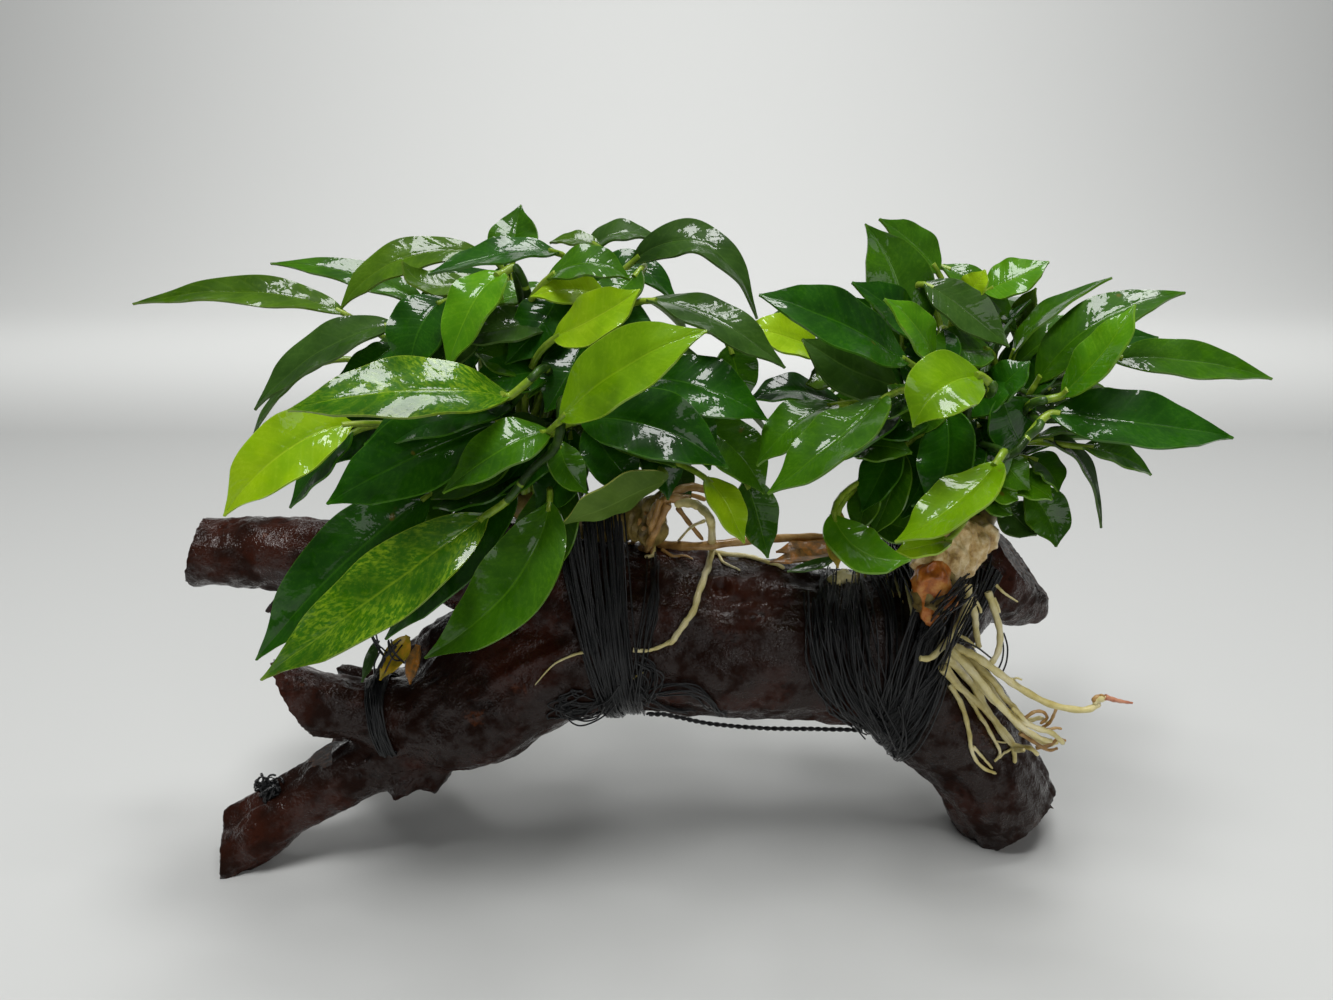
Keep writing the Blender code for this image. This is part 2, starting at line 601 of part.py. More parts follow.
# Remains of dead leaves: base, middle, tip, width and roll as for a leaf.
DEAD_STRIPS = [
    dict(base=(838, 552, 8), middle=(805, 556, 4), tip=(770, 562, 2), width=4, roll=40),
    dict(base=(838, 552, 8), middle=(808, 543, 12), tip=(772, 538, 15), width=6, roll=60),
    dict(base=(838, 552, 8), middle=(805, 550, 8), tip=(776, 552, 9), width=5, roll=50),
]
OLD_LEAF = dict(base=(408, 636, 0), middle=(393, 656, -3), tip=(376, 676, -5), width=5, roll=15)

# A pale root stub: each place in the picture with the radius there in mm.
ROOT_STUB = [((833, 583), 1.4), ((845, 579), 2.0), ((858, 575), 1.6)]
ROOT_STUB_LIFT = 1.0


def make_leaves(side, rows):
    blades = [seen_blade(**row) for row in rows]
    for number, blade in enumerate(blades, 1):
        if (side, number) in YOUNG:
            surface = material("young leaf", YOUNG_GREEN, 0.25)
        else:
            surface = material("leaf", LEAF_GREEN, 0.22)
        finish(blade_solid(blade), f"{side}_leaf_{number:02d}", surface)
    return blades


def back_blades(heart, count):
    # Leaves that fan out away from the eye, in two tiers.
    heart = sight(*heart)
    blades = []
    for i in range(count):
        bearing = math.radians(FAN_START + FAN_SPREAD * (i + 0.5) / count)
        out = Vector((math.cos(bearing), math.sin(bearing), 0))
        base_height, middle_height, tip_height = BACK_TIERS[i % len(BACK_TIERS)]
        base = heart + (out * FAN_OUT + Vector((0, 0, base_height))) * MM
        middle = base + (out * BACK_REACH * BACK_MIDDLE + Vector((0, 0, middle_height))) * MM
        tip = base + (out * BACK_REACH + Vector((0, 0, tip_height))) * MM
        facing = Vector((0, 0, 1)) + out * BACK_LEAN
        width = BACK_WIDTHS[i % len(BACK_WIDTHS)]
        blades.append(Blade(base, middle, tip, facing, width, BACK_TWIST, BACK_CUP, 0))
    return blades


# Crowns

def curve_point(knots, t):
    a, b, c, d = knots
    return (1 - t) ** 3 * a + 3 * t * (1 - t) ** 2 * b + 3 * t * t * (1 - t) * c + t ** 3 * d


def stalk_knots(blade, axis, fused, aside, number):
    # A leaf stalk: up from the rhizome, then into the leaf along its rib.
    # It starts on its own side of the rhizome, so that few stalks cross inside it.
    heading = blade.heading(0)
    end = blade.base + heading * STALK_OVERLAP if fused else blade.base - heading * STALK_GAP
    start = min(axis, key=lambda place: (place - end).length)
    way = math.atan2(end.y - start.y, end.x - start.x) + STALK_TURN_REACH * math.sin(STALK_TURN * number)
    start = start + Vector((math.cos(way), math.sin(way), STALK_TILT * math.sin(number))) * STALK_SPREAD
    length = (end - start).length
    return (start, start + Vector((0, 0, STALK_RISE * length)) + aside,
            end - heading * STALK_ENTRY * length + aside * STALK_ENTRY_BULGE, end)


def stalk_room(knots, blades_tree, held_tree):
    # How far a stalk's middle line stays from the leaves, and past its start from the wood and the thread.
    rooms = []
    for probe in range(STALK_PROBED):
        place = curve_point(knots, probe / STALK_PROBES)
        rooms.append(blades_tree.find_nearest(place)[3])
        if probe > STALK_FREE:
            rooms.append(held_tree.find_nearest(place)[3])
    return min(rooms)


def stalk(blade, axis, fused, blades_tree, held_tree, number):
    # Takes the first bulge, small ones first, that leaves room enough, or else the one that leaves the most.
    best_room = -1
    for bulge in STALK_BULGES:
        for way in range(STALK_WAYS if bulge else 1):
            turn = way * math.tau / STALK_WAYS
            aside = Vector((math.cos(turn), math.sin(turn), 0)) * bulge * MM
            knots = stalk_knots(blade, axis, fused, aside, number)
            room = stalk_room(knots, blades_tree, held_tree)
            if room > best_room:
                best_room, best = room, knots
            if room > PETIOLE_RADIUS * MM + GAP:
                return knots
    return best


def make_rhizome(points):
    run = smooth_run(points, RHIZOME_STEPS)
    return tube("rhizome", [sight(*point[:3]) for point in run], [point[3] for point in run], 1)


def make_crown(points, rhizome, blades, small, held_tree):
    # The rhizome, a stalk to every leaf, and the small leaves, in one solid.
    pieces = [rhizome]
    axis = [sight(*point[:3]) for point in smooth_run(points, STALK_STRETCH_STEPS)[STALK_STRETCH]]
    fused = [blade_solid(blade, SMALL_BLADE_STEPS, SMALL_BLADE_SIDES) for blade in small]
    own = [blade_solid(blade) for blade in blades]
    blades_tree = tree_of(own + fused)
    for solid in own:
        bpy.data.objects.remove(solid)
    pieces += fused
    for number, blade in enumerate(blades + small):
        knots = stalk(blade, axis, number >= len(blades), blades_tree, held_tree, number)
        shares = [ring / (STALK_RINGS - 1) for ring in range(STALK_RINGS)]
        places = [curve_point(knots, share) for share in shares]
        radii = [PETIOLE_RADIUS + (PETIOLE_END_RADIUS - PETIOLE_RADIUS) * share for share in shares]
        pieces.append(tube("stalk", places, radii, 0))
    return union_of(pieces)


# Roots and thread

def seen_on(tree, across, down, lift):
    # The place where the eye's line meets the wood, lifted off it. A line that passes the wood by takes the
    # place on it that is nearest.
    line = (sight(across, down, 0) - EYE).normalized()
    place, normal, _, _ = tree.ray_cast(EYE, line)
    if place is None:
        place, normal, _, _ = tree.find_nearest(sight(across, down, WOOD_BACK))
    return place + normal * lift


def laid(tree, place, room):
    # Pushes a place out of the wood to the given distance.
    near, normal, _, _ = tree.find_nearest(place)
    if (place - near).dot(normal) < room:
        return near + normal * room
    return place


def root_run(route, room, tree):
    places = [seen_on(tree, *point[:2], room) if point[2] is None else sight(*point) for point in route]
    return [laid(tree, place, room) for place in places]


def make_roots(name, knot, roots, tree):
    # The roots and the knot they all grow from, in one solid.
    shape = bmesh.new()
    bmesh.ops.create_icosphere(shape, subdivisions=1, radius=ROOT_KNOT_RADIUS * MM)
    knot_place = laid(tree, sight(*knot), ROOT_KNOT_RADIUS * MM + GAP)
    bmesh.ops.translate(shape, vec=knot_place, verts=shape.verts)
    mesh = bpy.data.meshes.new(name)
    shape.to_mesh(mesh)
    shape.free()
    pieces = [add(name, mesh)]
    for route, thick, thin in roots:
        places = root_run(route, thick * MM + GAP, tree)
        last = len(places) - 1
        radii = [thick + (thin - thick) * i / last for i in range(last + 1)]
        pieces.append(tube("root", places, radii, 0))
    return union_of(pieces)


def make_wrap(name, wood, rhizomes):
    # A band of thread: the wood and rhizomes swollen by its depth, cut to its width and hollowed.
    middle, along, width, half = WRAPS[name]
    middle = sight(*middle)
    along = Vector(along).normalized() * width / 2 * MM
    band = grown(wood, WRAP_DEPTH)
    for rhizome in rhizomes:
        combine(band, grown(rhizome, WRAP_DEPTH), "UNION")
    combine(band, bar(middle - along, middle + along, half * MM), "INTERSECT", crossing=True)
    combine(band, grown(wood, WRAP_GAP), "DIFFERENCE")
    combine(band, copy_of(wood), "DIFFERENCE")
    return largest_piece(band)


def make_knot(wood, tree):
    shape = bmesh.new()
    bmesh.ops.create_icosphere(shape, subdivisions=2, radius=KNOT_RADIUS * MM)
    for vertex in shape.verts:
        vertex.co *= 1 + KNOT_LUMPS * noise.noise(vertex.co / (KNOT_LUMP_SIZE * MM))
        vertex.co.z *= KNOT_FLATNESS
    bmesh.ops.translate(shape, vec=seen_on(tree, *KNOT_PLACE, KNOT_LIFT * MM), verts=shape.verts)
    mesh = bpy.data.meshes.new("knot")
    shape.to_mesh(mesh)
    shape.free()
    knot = add("knot", mesh)
    combine(knot, grown(wood, GAP), "DIFFERENCE")
    return largest_piece(knot)


def clear(thing, others):
    for other in others:
        combine(thing, grown(other, GAP), "DIFFERENCE")
    return largest_piece(thing)


def main():
    brown = material("wet driftwood", WOOD_BROWN, 0.3)
    green = material("stem", STEM_GREEN, 0.35)
    cream = material("root", ROOT_CREAM, 0.4)
    black = material("black thread", THREAD_BLACK, 0.5)
    tan = material("dead leaf", DEAD_TAN, 0.6)
    wood = make_wood()
    wood_tree = tree_of([wood])
    split_wood(wood, brown)

    rows = {"left": (LEFT_LEAVES, LEFT_SMALL_LEAVES, LEFT_HEART, LEFT_BACK_LEAVES),
            "right": (RIGHT_LEAVES, RIGHT_SMALL_LEAVES, RIGHT_HEART, RIGHT_BACK_LEAVES)}
    rhizomes = {"left": make_rhizome(LEFT_RHIZOME), "right": make_rhizome(RIGHT_RHIZOME)}
    wraps = []
    for name, held in (("left_wrap", "left"), ("right_wrap", "right"), ("stub_wrap", None)):
        wrap = make_wrap(name, wood, [rhizomes[held]] if held else [])
        if held:
            clear(wrap, [rhizomes[held]])
        wraps.append(finish(wrap, name, black))

    held_tree = tree_of([wood] + wraps)
    crowns = {}
    for side, run in (("left", LEFT_RHIZOME), ("right", RIGHT_RHIZOME)):
        large, small, heart, count = rows[side]
        blades = make_leaves(side, large)
        fused = [seen_blade(**row) for row in small] + back_blades(heart, count)
        base = clear(copy_of(rhizomes[side]), [wood])
        crowns[side] = finish(make_crown(run, base, blades, fused, held_tree), side + "_crown", green)

    roots = {}
    for side, knot, routes in (("left", LEFT_ROOT_KNOT, LEFT_ROOTS), ("right", RIGHT_ROOT_KNOT, RIGHT_ROOTS)):
        roots[side] = make_roots(side + "_roots", knot, routes, wood_tree)
        clear(roots[side], [wood, rhizomes[side], wraps[0], wraps[1]])
        finish(roots[side], side + "_roots", cream)

    line_run = [laid(wood_tree, sight(*point), THREAD_RADIUS * MM + GAP) for point in TAUT_LINE]
    line = tube("thread_line", line_run, [THREAD_RADIUS] * len(line_run), 1)
    finish(clear(line, wraps[:2] + [wood]), "thread_line", black)
    finish(make_knot(wood, wood_tree), "thread_knot", black)

    dead = union_of([blade_solid(seen_blade(**row), BLADE_STEPS, 1) for row in DEAD_STRIPS])
    clear(dead, [wood, wraps[1], roots["left"], crowns["right"]])
    combine(dead, copy_of(roots["left"]), "DIFFERENCE")
    finish(largest_piece(dead), "dead_leaf", tan)
    finish(clear(blade_solid(seen_blade(**OLD_LEAF)), [wood, wraps[2]]), "old_leaf", tan)
    stub_run = [seen_on(wood_tree, *place, ROOT_STUB_LIFT * MM) for place, radius in ROOT_STUB]
    stub = tube("root_stub", stub_run, [radius for place, radius in ROOT_STUB], 1)
    finish(clear(stub, [wood, wraps[1], dead, crowns["right"]]), "root_stub", cream)

    for rhizome in rhizomes.values():
        bpy.data.objects.remove(rhizome)
    bpy.data.objects.remove(wood)


main()
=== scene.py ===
import math
import random

import bpy
import numpy as np
from mathutils import Matrix, Vector, noise
from mathutils.bvhtree import BVHTree


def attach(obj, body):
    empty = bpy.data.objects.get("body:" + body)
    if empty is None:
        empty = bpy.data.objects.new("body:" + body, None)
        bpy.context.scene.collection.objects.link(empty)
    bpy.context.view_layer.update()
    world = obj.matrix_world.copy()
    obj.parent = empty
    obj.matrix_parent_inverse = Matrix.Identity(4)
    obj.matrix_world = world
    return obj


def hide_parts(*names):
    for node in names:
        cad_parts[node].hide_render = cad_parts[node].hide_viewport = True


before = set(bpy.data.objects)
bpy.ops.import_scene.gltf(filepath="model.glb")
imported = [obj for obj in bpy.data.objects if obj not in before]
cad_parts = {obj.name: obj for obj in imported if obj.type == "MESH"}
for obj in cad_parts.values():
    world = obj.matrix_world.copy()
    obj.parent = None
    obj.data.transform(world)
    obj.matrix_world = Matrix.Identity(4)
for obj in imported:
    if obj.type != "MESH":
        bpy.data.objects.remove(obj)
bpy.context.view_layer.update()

mm = 0.001

# The picture that places are read from, as (across, down) in pixels and a depth in mm behind its plane.
picture = {
    "width": 1333, "height": 1000,
    "lensPixels": 1000,
    "pitch": math.radians(17.5),
    "eyeHeight": 150, "eyeAway": 200,            # mm
    "middleAcross": 4.0, "middleBack": 15.7,     # mm, the object's middle from the picture's
}
eye = Vector((-picture["middleAcross"], -picture["eyeAway"] - picture["middleBack"],
              picture["eyeHeight"])) * mm


def sight(across, down, back):
    right = across - picture["width"] / 2
    drop = down - picture["height"] / 2
    ahead = picture["lensPixels"] * math.cos(picture["pitch"]) - drop * math.sin(picture["pitch"])
    below = picture["lensPixels"] * math.sin(picture["pitch"]) + drop * math.cos(picture["pitch"])
    reach = (picture["eyeAway"] + back) / ahead
    return Vector((right * reach - picture["middleAcross"], back - picture["middleBack"],
                   picture["eyeHeight"] - below * reach)) * mm


def smoothRun(points, steps):                    # a smooth curve through the points
    run = []
    for i in range(len(points) - 1):
        before, here, there = points[max(i - 1, 0)], points[i], points[i + 1]
        after = points[min(i + 2, len(points) - 1)]
        for step in range(steps):
            t = step / steps
            run.append(tuple(
                0.5 * (2 * b + (c - a) * t + (2 * a - 5 * b + 4 * c - d) * t * t
                       + (3 * b - a - 3 * c + d) * t ** 3)
                for a, b, c, d in zip(before, here, there, after)))
    run.append(tuple(points[-1]))
    return run


def colour(hexCode):                             # sRGB hex to linear
    parts = [int(hexCode[i:i + 2], 16) / 255 for i in (1, 3, 5)]
    return (*[c / 12.92 if c <= 0.04045 else ((c + 0.055) / 1.055) ** 2.4 for c in parts], 1)


def node(tree, kind, settings, links={}):        # adds a node with its settings and links
    made = tree.nodes.new("ShaderNode" + kind)
    for name, value in settings.items():
        if isinstance(name, int) or not hasattr(made, name):
            made.inputs[name].default_value = value
        else:
            setattr(made, name, value)
    for name, source in links.items():
        tree.links.new(source, made.inputs[name])
    return made


def newMaterial(name, shaderSettings):
    material = bpy.data.materials.new(name)
    material.use_nodes = True
    shader = material.node_tree.nodes["Principled BSDF"]
    for key, value in shaderSettings.items():
        shader.inputs[key].default_value = value
    return material, material.node_tree, shader


def ramp(tree, source, stops):                   # a colour ramp from (position, hex) stops
    made = node(tree, "ValToRGB", {}, {"Fac": source})
    while len(made.color_ramp.elements) < len(stops):
        made.color_ramp.elements.new(0.5)
    for element, (position, hexCode) in zip(made.color_ramp.elements, stops):
        element.position = position
        element.color = colour(hexCode)
    return made.outputs["Color"]


def blend(tree, amount, first, second):          # mixes two colours by a mask
    made = node(tree, "Mix", {"data_type": "RGBA"}, {0: amount, 6: first})
    if isinstance(second, str):
        made.inputs[7].default_value = colour(second)
    else:
        tree.links.new(second, made.inputs[7])
    return made.outputs[2]


def figure(tree, operation, *values):            # one sum on numbers or sockets
    made = node(tree, "Math", {"operation": operation})
    for place, value in enumerate(values):
        if isinstance(value, (int, float)):
            made.inputs[place].default_value = value
        else:
            tree.links.new(value, made.inputs[place])
    return made.outputs[0]


def times(tree, first, second):
    return figure(tree, "MULTIPLY", first, second)


def plus(tree, first, second):
    return figure(tree, "ADD", first, second)


def minus(tree, first, second):
    return figure(tree, "SUBTRACT", first, second)


def between(tree, value, low, high):             # 0 below low, 1 above high
    return node(tree, "MapRange", {"From Min": low, "From Max": high, "interpolation_type": "SMOOTHSTEP"},
                {"Value": value}).outputs[0]


# Wet leaf: a waxy blade, smooth and springy, under a broken film of water that mirrors the light in
# ragged patches.
leafFinishes = {
    "darkLeaf": dict(base="#1d4d05", deep="#103703", light="#3b6f10", marginAndHighlight="#4c7f1e", mottle=0.3),
    "midLeaf": dict(base="#356208", deep="#234b04", light="#548412", marginAndHighlight="#688f28", mottle=0.35),
    "freshLeaf": dict(base="#4f8709", deep="#3a7106", light="#74a41c", marginAndHighlight="#84ac34", mottle=0.35),
    "youngLeaf": dict(base="#8fb30d", deep="#76a008", light="#aac92a", marginAndHighlight="#b0cb4c", mottle=0.3),
    "limeLeaf": dict(base="#6a9505", deep="#517804", light="#88ad18", marginAndHighlight="#9cb93c", mottle=0.3),
    "mottledLeaf": dict(base="#356807", deep="#224c04", light="#86a51c", marginAndHighlight="#90a830", mottle=0.85),
    # Greyer green: partly the leaf's own dull grey-green, partly painted grey sheen of the wet film.
    "dullLeaf": dict(base="#315018", deep="#213c0e", light="#4b6a28", marginAndHighlight="#5a7737", mottle=0.25),
    "oliveLeaf": dict(base="#44660b", deep="#304f06", light="#668620", marginAndHighlight="#789432", mottle=0.3),
    "paleLeaf": dict(base="#94a13c", deep="#808e2e", light="#aab454", marginAndHighlight="#b4bd66", mottle=0.3),
    "leafUnderside": dict(base="#567228", deep="#445f1e", light="#6e8b3c", marginAndHighlight="#7b974e", mottle=0.2),
}
leafPattern = {
    "tone": 11, "veinNet": 0.9, "ripple": 1.5, "swell": 7, "film": 6, "spots": 5,     # mm
    "veinPairs": 10, "fleckLength": 52, "fleckWidth": 15,
}


def leafMaterial(name, look):
    dry = name in ("paleLeaf", "leafUnderside")
    material, tree, shader = newMaterial(name, {"Coat Roughness": 0.04, "Coat IOR": 1.38, "IOR": 1.42,
                                                "Specular IOR Level": 0.08})
    place = node(tree, "TexCoord", {}).outputs["Object"]
    flat = node(tree, "UVMap", {"uv_map": "UVMap"}).outputs[0]
    along, across, _ = node(tree, "SeparateXYZ", {}, {0: flat}).outputs
    side = times(tree, figure(tree, "ABSOLUTE", minus(tree, across, 0.5)), 2)

    def noiseAt(size, detail, vector=place):
        return node(tree, "TexNoise", {"Scale": 1 / size, "Detail": detail, "Roughness": 0.62},
                    {"Vector": vector}).outputs[0]

    tone, net = noiseAt(leafPattern["tone"] * mm, 2), noiseAt(leafPattern["veinNet"] * mm, 3)
    lean = minus(tree, along, times(tree, side, 0.14))         # side veins run on to the tip
    flecks = noiseAt(1, 3, node(tree, "CombineXYZ", {}, {
        0: times(tree, lean, leafPattern["fleckLength"]),
        1: times(tree, across, leafPattern["fleckWidth"]),
        2: times(tree, tone, 14)}).outputs[0])
    body = ramp(tree, tone, [(0.32, look["deep"]), (0.6, look["base"])])
    crowd = plus(tree, times(tree, between(tree, tone, 0.4, 0.65), 0.75),
                 times(tree, between(tree, side, 0.5, 1), 0.35))     # flecks crowd in patches
    wave = figure(tree, "SINE", times(tree, lean, leafPattern["veinPairs"] * math.pi))
    vein = figure(tree, "POWER", figure(tree, "ABSOLUTE", wave), 14)
    rib = minus(tree, 1, between(tree, side, 0.012, 0.05))
    for mask, amount, tint in (
            (between(tree, net, 0.5, 0.75), 0.2, look["light"]),
            (between(tree, flecks, 0.42, 0.66), times(tree, crowd, look["mottle"]), look["light"]),
            (vein, 0.08, look["light"]), (rib, 0.4, look["light"]),
            # A lighter line along the edge and at the tip: partly the leaf's own paler margin, partly painted
            # edge highlight.
            (between(tree, side, 0.965, 0.995), 0.45, look["marginAndHighlight"]),
            (between(tree, along, 0.95, 1.0), 0.4, look["marginAndHighlight"]),
            (between(tree, noiseAt(leafPattern["spots"] * mm, 1), 0.76, 0.8), 0.7, "#6b5a16")):
        body = blend(tree, times(tree, mask, amount), body, tint)
    tree.links.new(body, shader.inputs["Base Color"])

    relief = minus(tree, times(tree, net, 0.16), times(tree, vein, 0.22))
    relief = minus(tree, relief, times(tree, rib, 0.8))
    skin = node(tree, "Bump", {"Strength": 0.5, "Distance": 0.14 * mm}, {"Height": relief}).outputs[0]
    ripples = plus(tree, times(tree, noiseAt(leafPattern["ripple"] * mm, 2), 0.3),
                   noiseAt(leafPattern["swell"] * mm, 1))
    film = node(tree, "Bump", {"Strength": 0.5, "Distance": 0.5 * mm},
                {"Height": ripples, "Normal": skin}).outputs[0]
    tree.links.new(film, shader.inputs["Coat Normal"])
    tree.links.new(skin, shader.inputs["Normal"])
    wet = between(tree, noiseAt(leafPattern["film"] * mm, 5), 0.4, 0.44)
    tree.links.new(times(tree, wet, 0.1 if dry else 0.95), shader.inputs["Coat Weight"])
    tree.links.new(plus(tree, times(tree, flecks, 0.12), 0.46 if dry else 0.32), shader.inputs["Roughness"])
    return material


leafMaterials = {name: leafMaterial(name, look) for name, look in leafFinishes.items()}


# Bogwood, soaked for years: near black, reddish where it is worn, with a wet film over long grain.
woodLook = {
    "grainLength": 16, "grainWidth": 0.9,        # mm
    "twigsFrom": (190, 192), "twigsTo": (238, 240),      # the stretch of the grain's length that is twigs
}


def woodMaterial(name, look):
    material, tree, shader = newMaterial(name, {"Coat Roughness": 0.04, "Coat IOR": 1.36, "IOR": 1.4,
                                                "Specular IOR Level": 0.06})
    place = node(tree, "TexCoord", {}).outputs["Object"]
    grainPlace = node(tree, "Attribute", {"attribute_name": "grain"}).outputs["Vector"]

    def noiseAt(size, detail, vector=place):
        return node(tree, "TexNoise", {"Scale": 1 / size, "Detail": detail, "Roughness": 0.64},
                    {"Vector": vector}).outputs[0]

    grain, broad = noiseAt(look["grainWidth"], 5, grainPlace), noiseAt(20 * mm, 3)
    pores, patches = noiseAt(0.7 * mm, 4), noiseAt(5 * mm, 4)
    dark = ramp(tree, grain, [(0.3, "#0b0402"), (0.52, "#211009"), (0.75, "#3f2317")])
    red = ramp(tree, grain, [(0.3, "#170905"), (0.52, "#37180d"), (0.75, "#6b3820")])
    body = blend(tree, between(tree, broad, 0.46, 0.64), dark, red)
    worn = between(tree, noiseAt(9 * mm, 5), 0.66, 0.78)
    along = node(tree, "SeparateXYZ", {}, {0: grainPlace}).outputs[0]
    twigs = times(tree, between(tree, along, *look["twigsFrom"]),
                  minus(tree, 1, between(tree, along, *look["twigsTo"])))
    for mask, amount, tint in (
            (between(tree, patches, 0.56, 0.68), 0.6, "#060201"),
            (worn, 0.4, "#8a4a22"),              # bark rubbed off to orange-brown wood
            (twigs, 0.55, "#7d4436")):           # the two bare twigs are pinker
        body = blend(tree, times(tree, mask, amount), body, tint)
    tree.links.new(body, shader.inputs["Base Color"])
    height = plus(tree, grain, times(tree, pores, 0.55))
    skin = node(tree, "Bump", {"Strength": 0.9, "Distance": 0.45 * mm}, {"Height": height}).outputs[0]
    tree.links.new(skin, shader.inputs["Normal"])
    beads = plus(tree, times(tree, grain, 0.9), noiseAt(0.8 * mm, 2))
    film = node(tree, "Bump", {"Strength": 0.9, "Distance": 0.42 * mm}, {"Height": beads}).outputs[0]
    tree.links.new(film, shader.inputs["Coat Normal"])
    wet = between(tree, noiseAt(7 * mm, 4), 0.38, 0.55)
    tree.links.new(plus(tree, times(tree, wet, 0.85), 0.08), shader.inputs["Coat Weight"])
    tree.links.new(plus(tree, times(tree, pores, 0.3), 0.4), shader.inputs["Roughness"])
    return material


bogwood = woodMaterial("bogwood", woodLook)


def plainMaterial(name, stops, patternSize, roughness, coat, bumpDepth, coatRoughness=0.15):
    material, tree, shader = newMaterial(name, {"Coat Weight": coat, "Coat Roughness": coatRoughness,
                                                "Coat IOR": 1.33, "Specular IOR Level": 0.3})
    place = node(tree, "TexCoord", {}).outputs["Object"]
    pattern = node(tree, "TexNoise", {"Scale": 1 / (patternSize * mm), "Detail": 4, "Roughness": 0.65},
                   {"Vector": place}).outputs[0]
    tree.links.new(ramp(tree, pattern, stops), shader.inputs["Base Color"])
    bump = node(tree, "Bump", {"Strength": 0.6, "Distance": bumpDepth * mm}, {"Height": pattern}).outputs[0]
    tree.links.new(bump, shader.inputs["Normal"])
    tree.links.new(bump, shader.inputs["Coat Normal"])
    tree.links.new(plus(tree, times(tree, pattern, 0.2), roughness - 0.1), shader.inputs["Roughness"])
    return material


# For each: colour stops, pattern size in mm, roughness, coat, bump depth in mm, roughness of the coat
plainLooks = {
    # Broken end of the bogwood: torn fibres, browner and duller than the skin.
    "brokenWood": ([(0.3, "#120805"), (0.5, "#2f1a10"), (0.66, "#5a3620"), (0.8, "#7d5433")],
                   1.3, 0.55, 0.5, 0.35, 0.12),
    # Leaf stalk: firm and smooth, yellow-green, and deeper green in the shade of the leaves.
    "leafStalk": ([(0.3, "#5d7d16"), (0.5, "#7f9c26"), (0.7, "#a0b444")], 3, 0.36, 0.5, 0.06),
    "shadedStalk": ([(0.3, "#1f3a0a"), (0.5, "#2f4f12"), (0.7, "#47681e")], 3, 0.4, 0.4, 0.06),
    # Rhizome: corky and scarred, olive tan with browner rings.
    "rhizomeBark": ([(0.3, "#3f3216"), (0.5, "#7d6a34"), (0.7, "#a08d52")], 3, 0.5, 0.3, 0.2),
    # Old leaf sheath: soft, crumpled and translucent tan, turning orange where it rots.
    "tanSheath": ([(0.3, "#8f6d3a"), (0.46, "#c9a96c"), (0.64, "#ead4a4")], 2.4, 0.42, 0.6, 0.25, 0.08),
    "rustSheath": ([(0.3, "#7a3d12"), (0.5, "#b5651f"), (0.7, "#cf9448")], 2.6, 0.42, 0.6, 0.25, 0.08),
    # Living root: damp, waxy and pale cream, with a yellow-green cast where it has seen light.
    "creamRoot": ([(0.3, "#b9a75c"), (0.5, "#d8cb8c"), (0.68, "#ece2b8")], 7, 0.38, 0.45, 0.05),
    "tanRoot": ([(0.3, "#76552b"), (0.5, "#a98149"), (0.68, "#c8a672")], 5, 0.38, 0.5, 0.06),
    "rootTip": ([(0.3, "#8f5138"), (0.5, "#c07e60"), (0.7, "#dcab8a")], 3, 0.4, 0.4, 0.06),
    # Cotton sewing thread, soaked: black with a blue-grey cast, and beads of wet shine along its twist.
    "blackCotton": ([(0.35, "#020304"), (0.55, "#07090c"), (0.75, "#14181d")], 0.45, 0.6, 1.0, 0.26, 0.05),
    # Rotted leaf: papery layers, grey tan to orange brown.
    "rottedLeaf": ([(0.3, "#4a3420"), (0.48, "#86612f"), (0.6, "#b06f22"), (0.75, "#bfa886")],
                   2.2, 0.5, 0.5, 0.25, 0.08),
    "yellowedLeaf": ([(0.3, "#5c5a12"), (0.5, "#a88f16"), (0.7, "#d39a22")], 2.4, 0.4, 0.5, 0.12, 0.08),
}
plain = {name: plainMaterial(name, *look) for name, look in plainLooks.items()}
leafMaterials.update({name: plain[name] for name in ("rottedLeaf", "yellowedLeaf")})
print("materials made")


def deselectAll():
    for thing in bpy.context.selected_objects:
        thing.select_set(False)


def activate(thing):
    deselectAll()
    thing.select_set(True)
    bpy.context.view_layer.objects.active = thing


def applyModifiers(thing):
    activate(thing)
    for modifier in list(thing.modifiers):
        bpy.ops.object.modifier_apply(modifier=modifier.name)


def joined(things, name):
    activate(things[0])
    for thing in things:
        thing.select_set(True)
    bpy.ops.object.join()
    made = bpy.context.view_layer.objects.active
    made.name = made.data.name = name
    return made


def smoothShade(thing, angle=50):
    activate(thing)
    bpy.ops.object.shade_smooth_by_angle(angle=math.radians(angle))


def tubes(name, runs, roundness, material=None):     # runs of (places, radii in mm) as one mesh of tubes
    curve = bpy.data.curves.new(name, "CURVE")
    curve.dimensions = "3D"
    curve.bevel_depth = mm
    curve.bevel_resolution = roundness
    curve.use_fill_caps = True
    for places, radii in runs:
        spline = curve.splines.new("POLY")
        spline.points.add(len(places) - 1)
        for point, place, radius in zip(spline.points, places, radii):
            point.co = (*place, 1)
            point.radius = radius
    thing = bpy.data.objects.new(name, curve)
    bpy.context.scene.collection.objects.link(thing)
    activate(thing)
    bpy.ops.object.convert(target="MESH")
    bpy.ops.object.mode_set(mode="EDIT")
    bpy.ops.mesh.select_all(action="SELECT")
    bpy.ops.mesh.remove_doubles(threshold=0.0001 * mm)           # closes the caps' seams
    bpy.ops.object.mode_set(mode="OBJECT")
    if material:
        thing.data.materials.append(plain[material])
        smoothShade(thing)
    return thing


def taper(count, start, end, power=1.0):
    return [start + (end - start) * (i / (count - 1)) ** power for i in range(count)]


def treeOf(things):
    points, faces = [], []
    for thing in things:
        first = len(points)
        points += [vertex.co.copy() for vertex in thing.data.vertices]
        faces += [[first + i for i in face.vertices] for face in thing.data.polygons]
    return BVHTree.FromPolygons(points, faces)


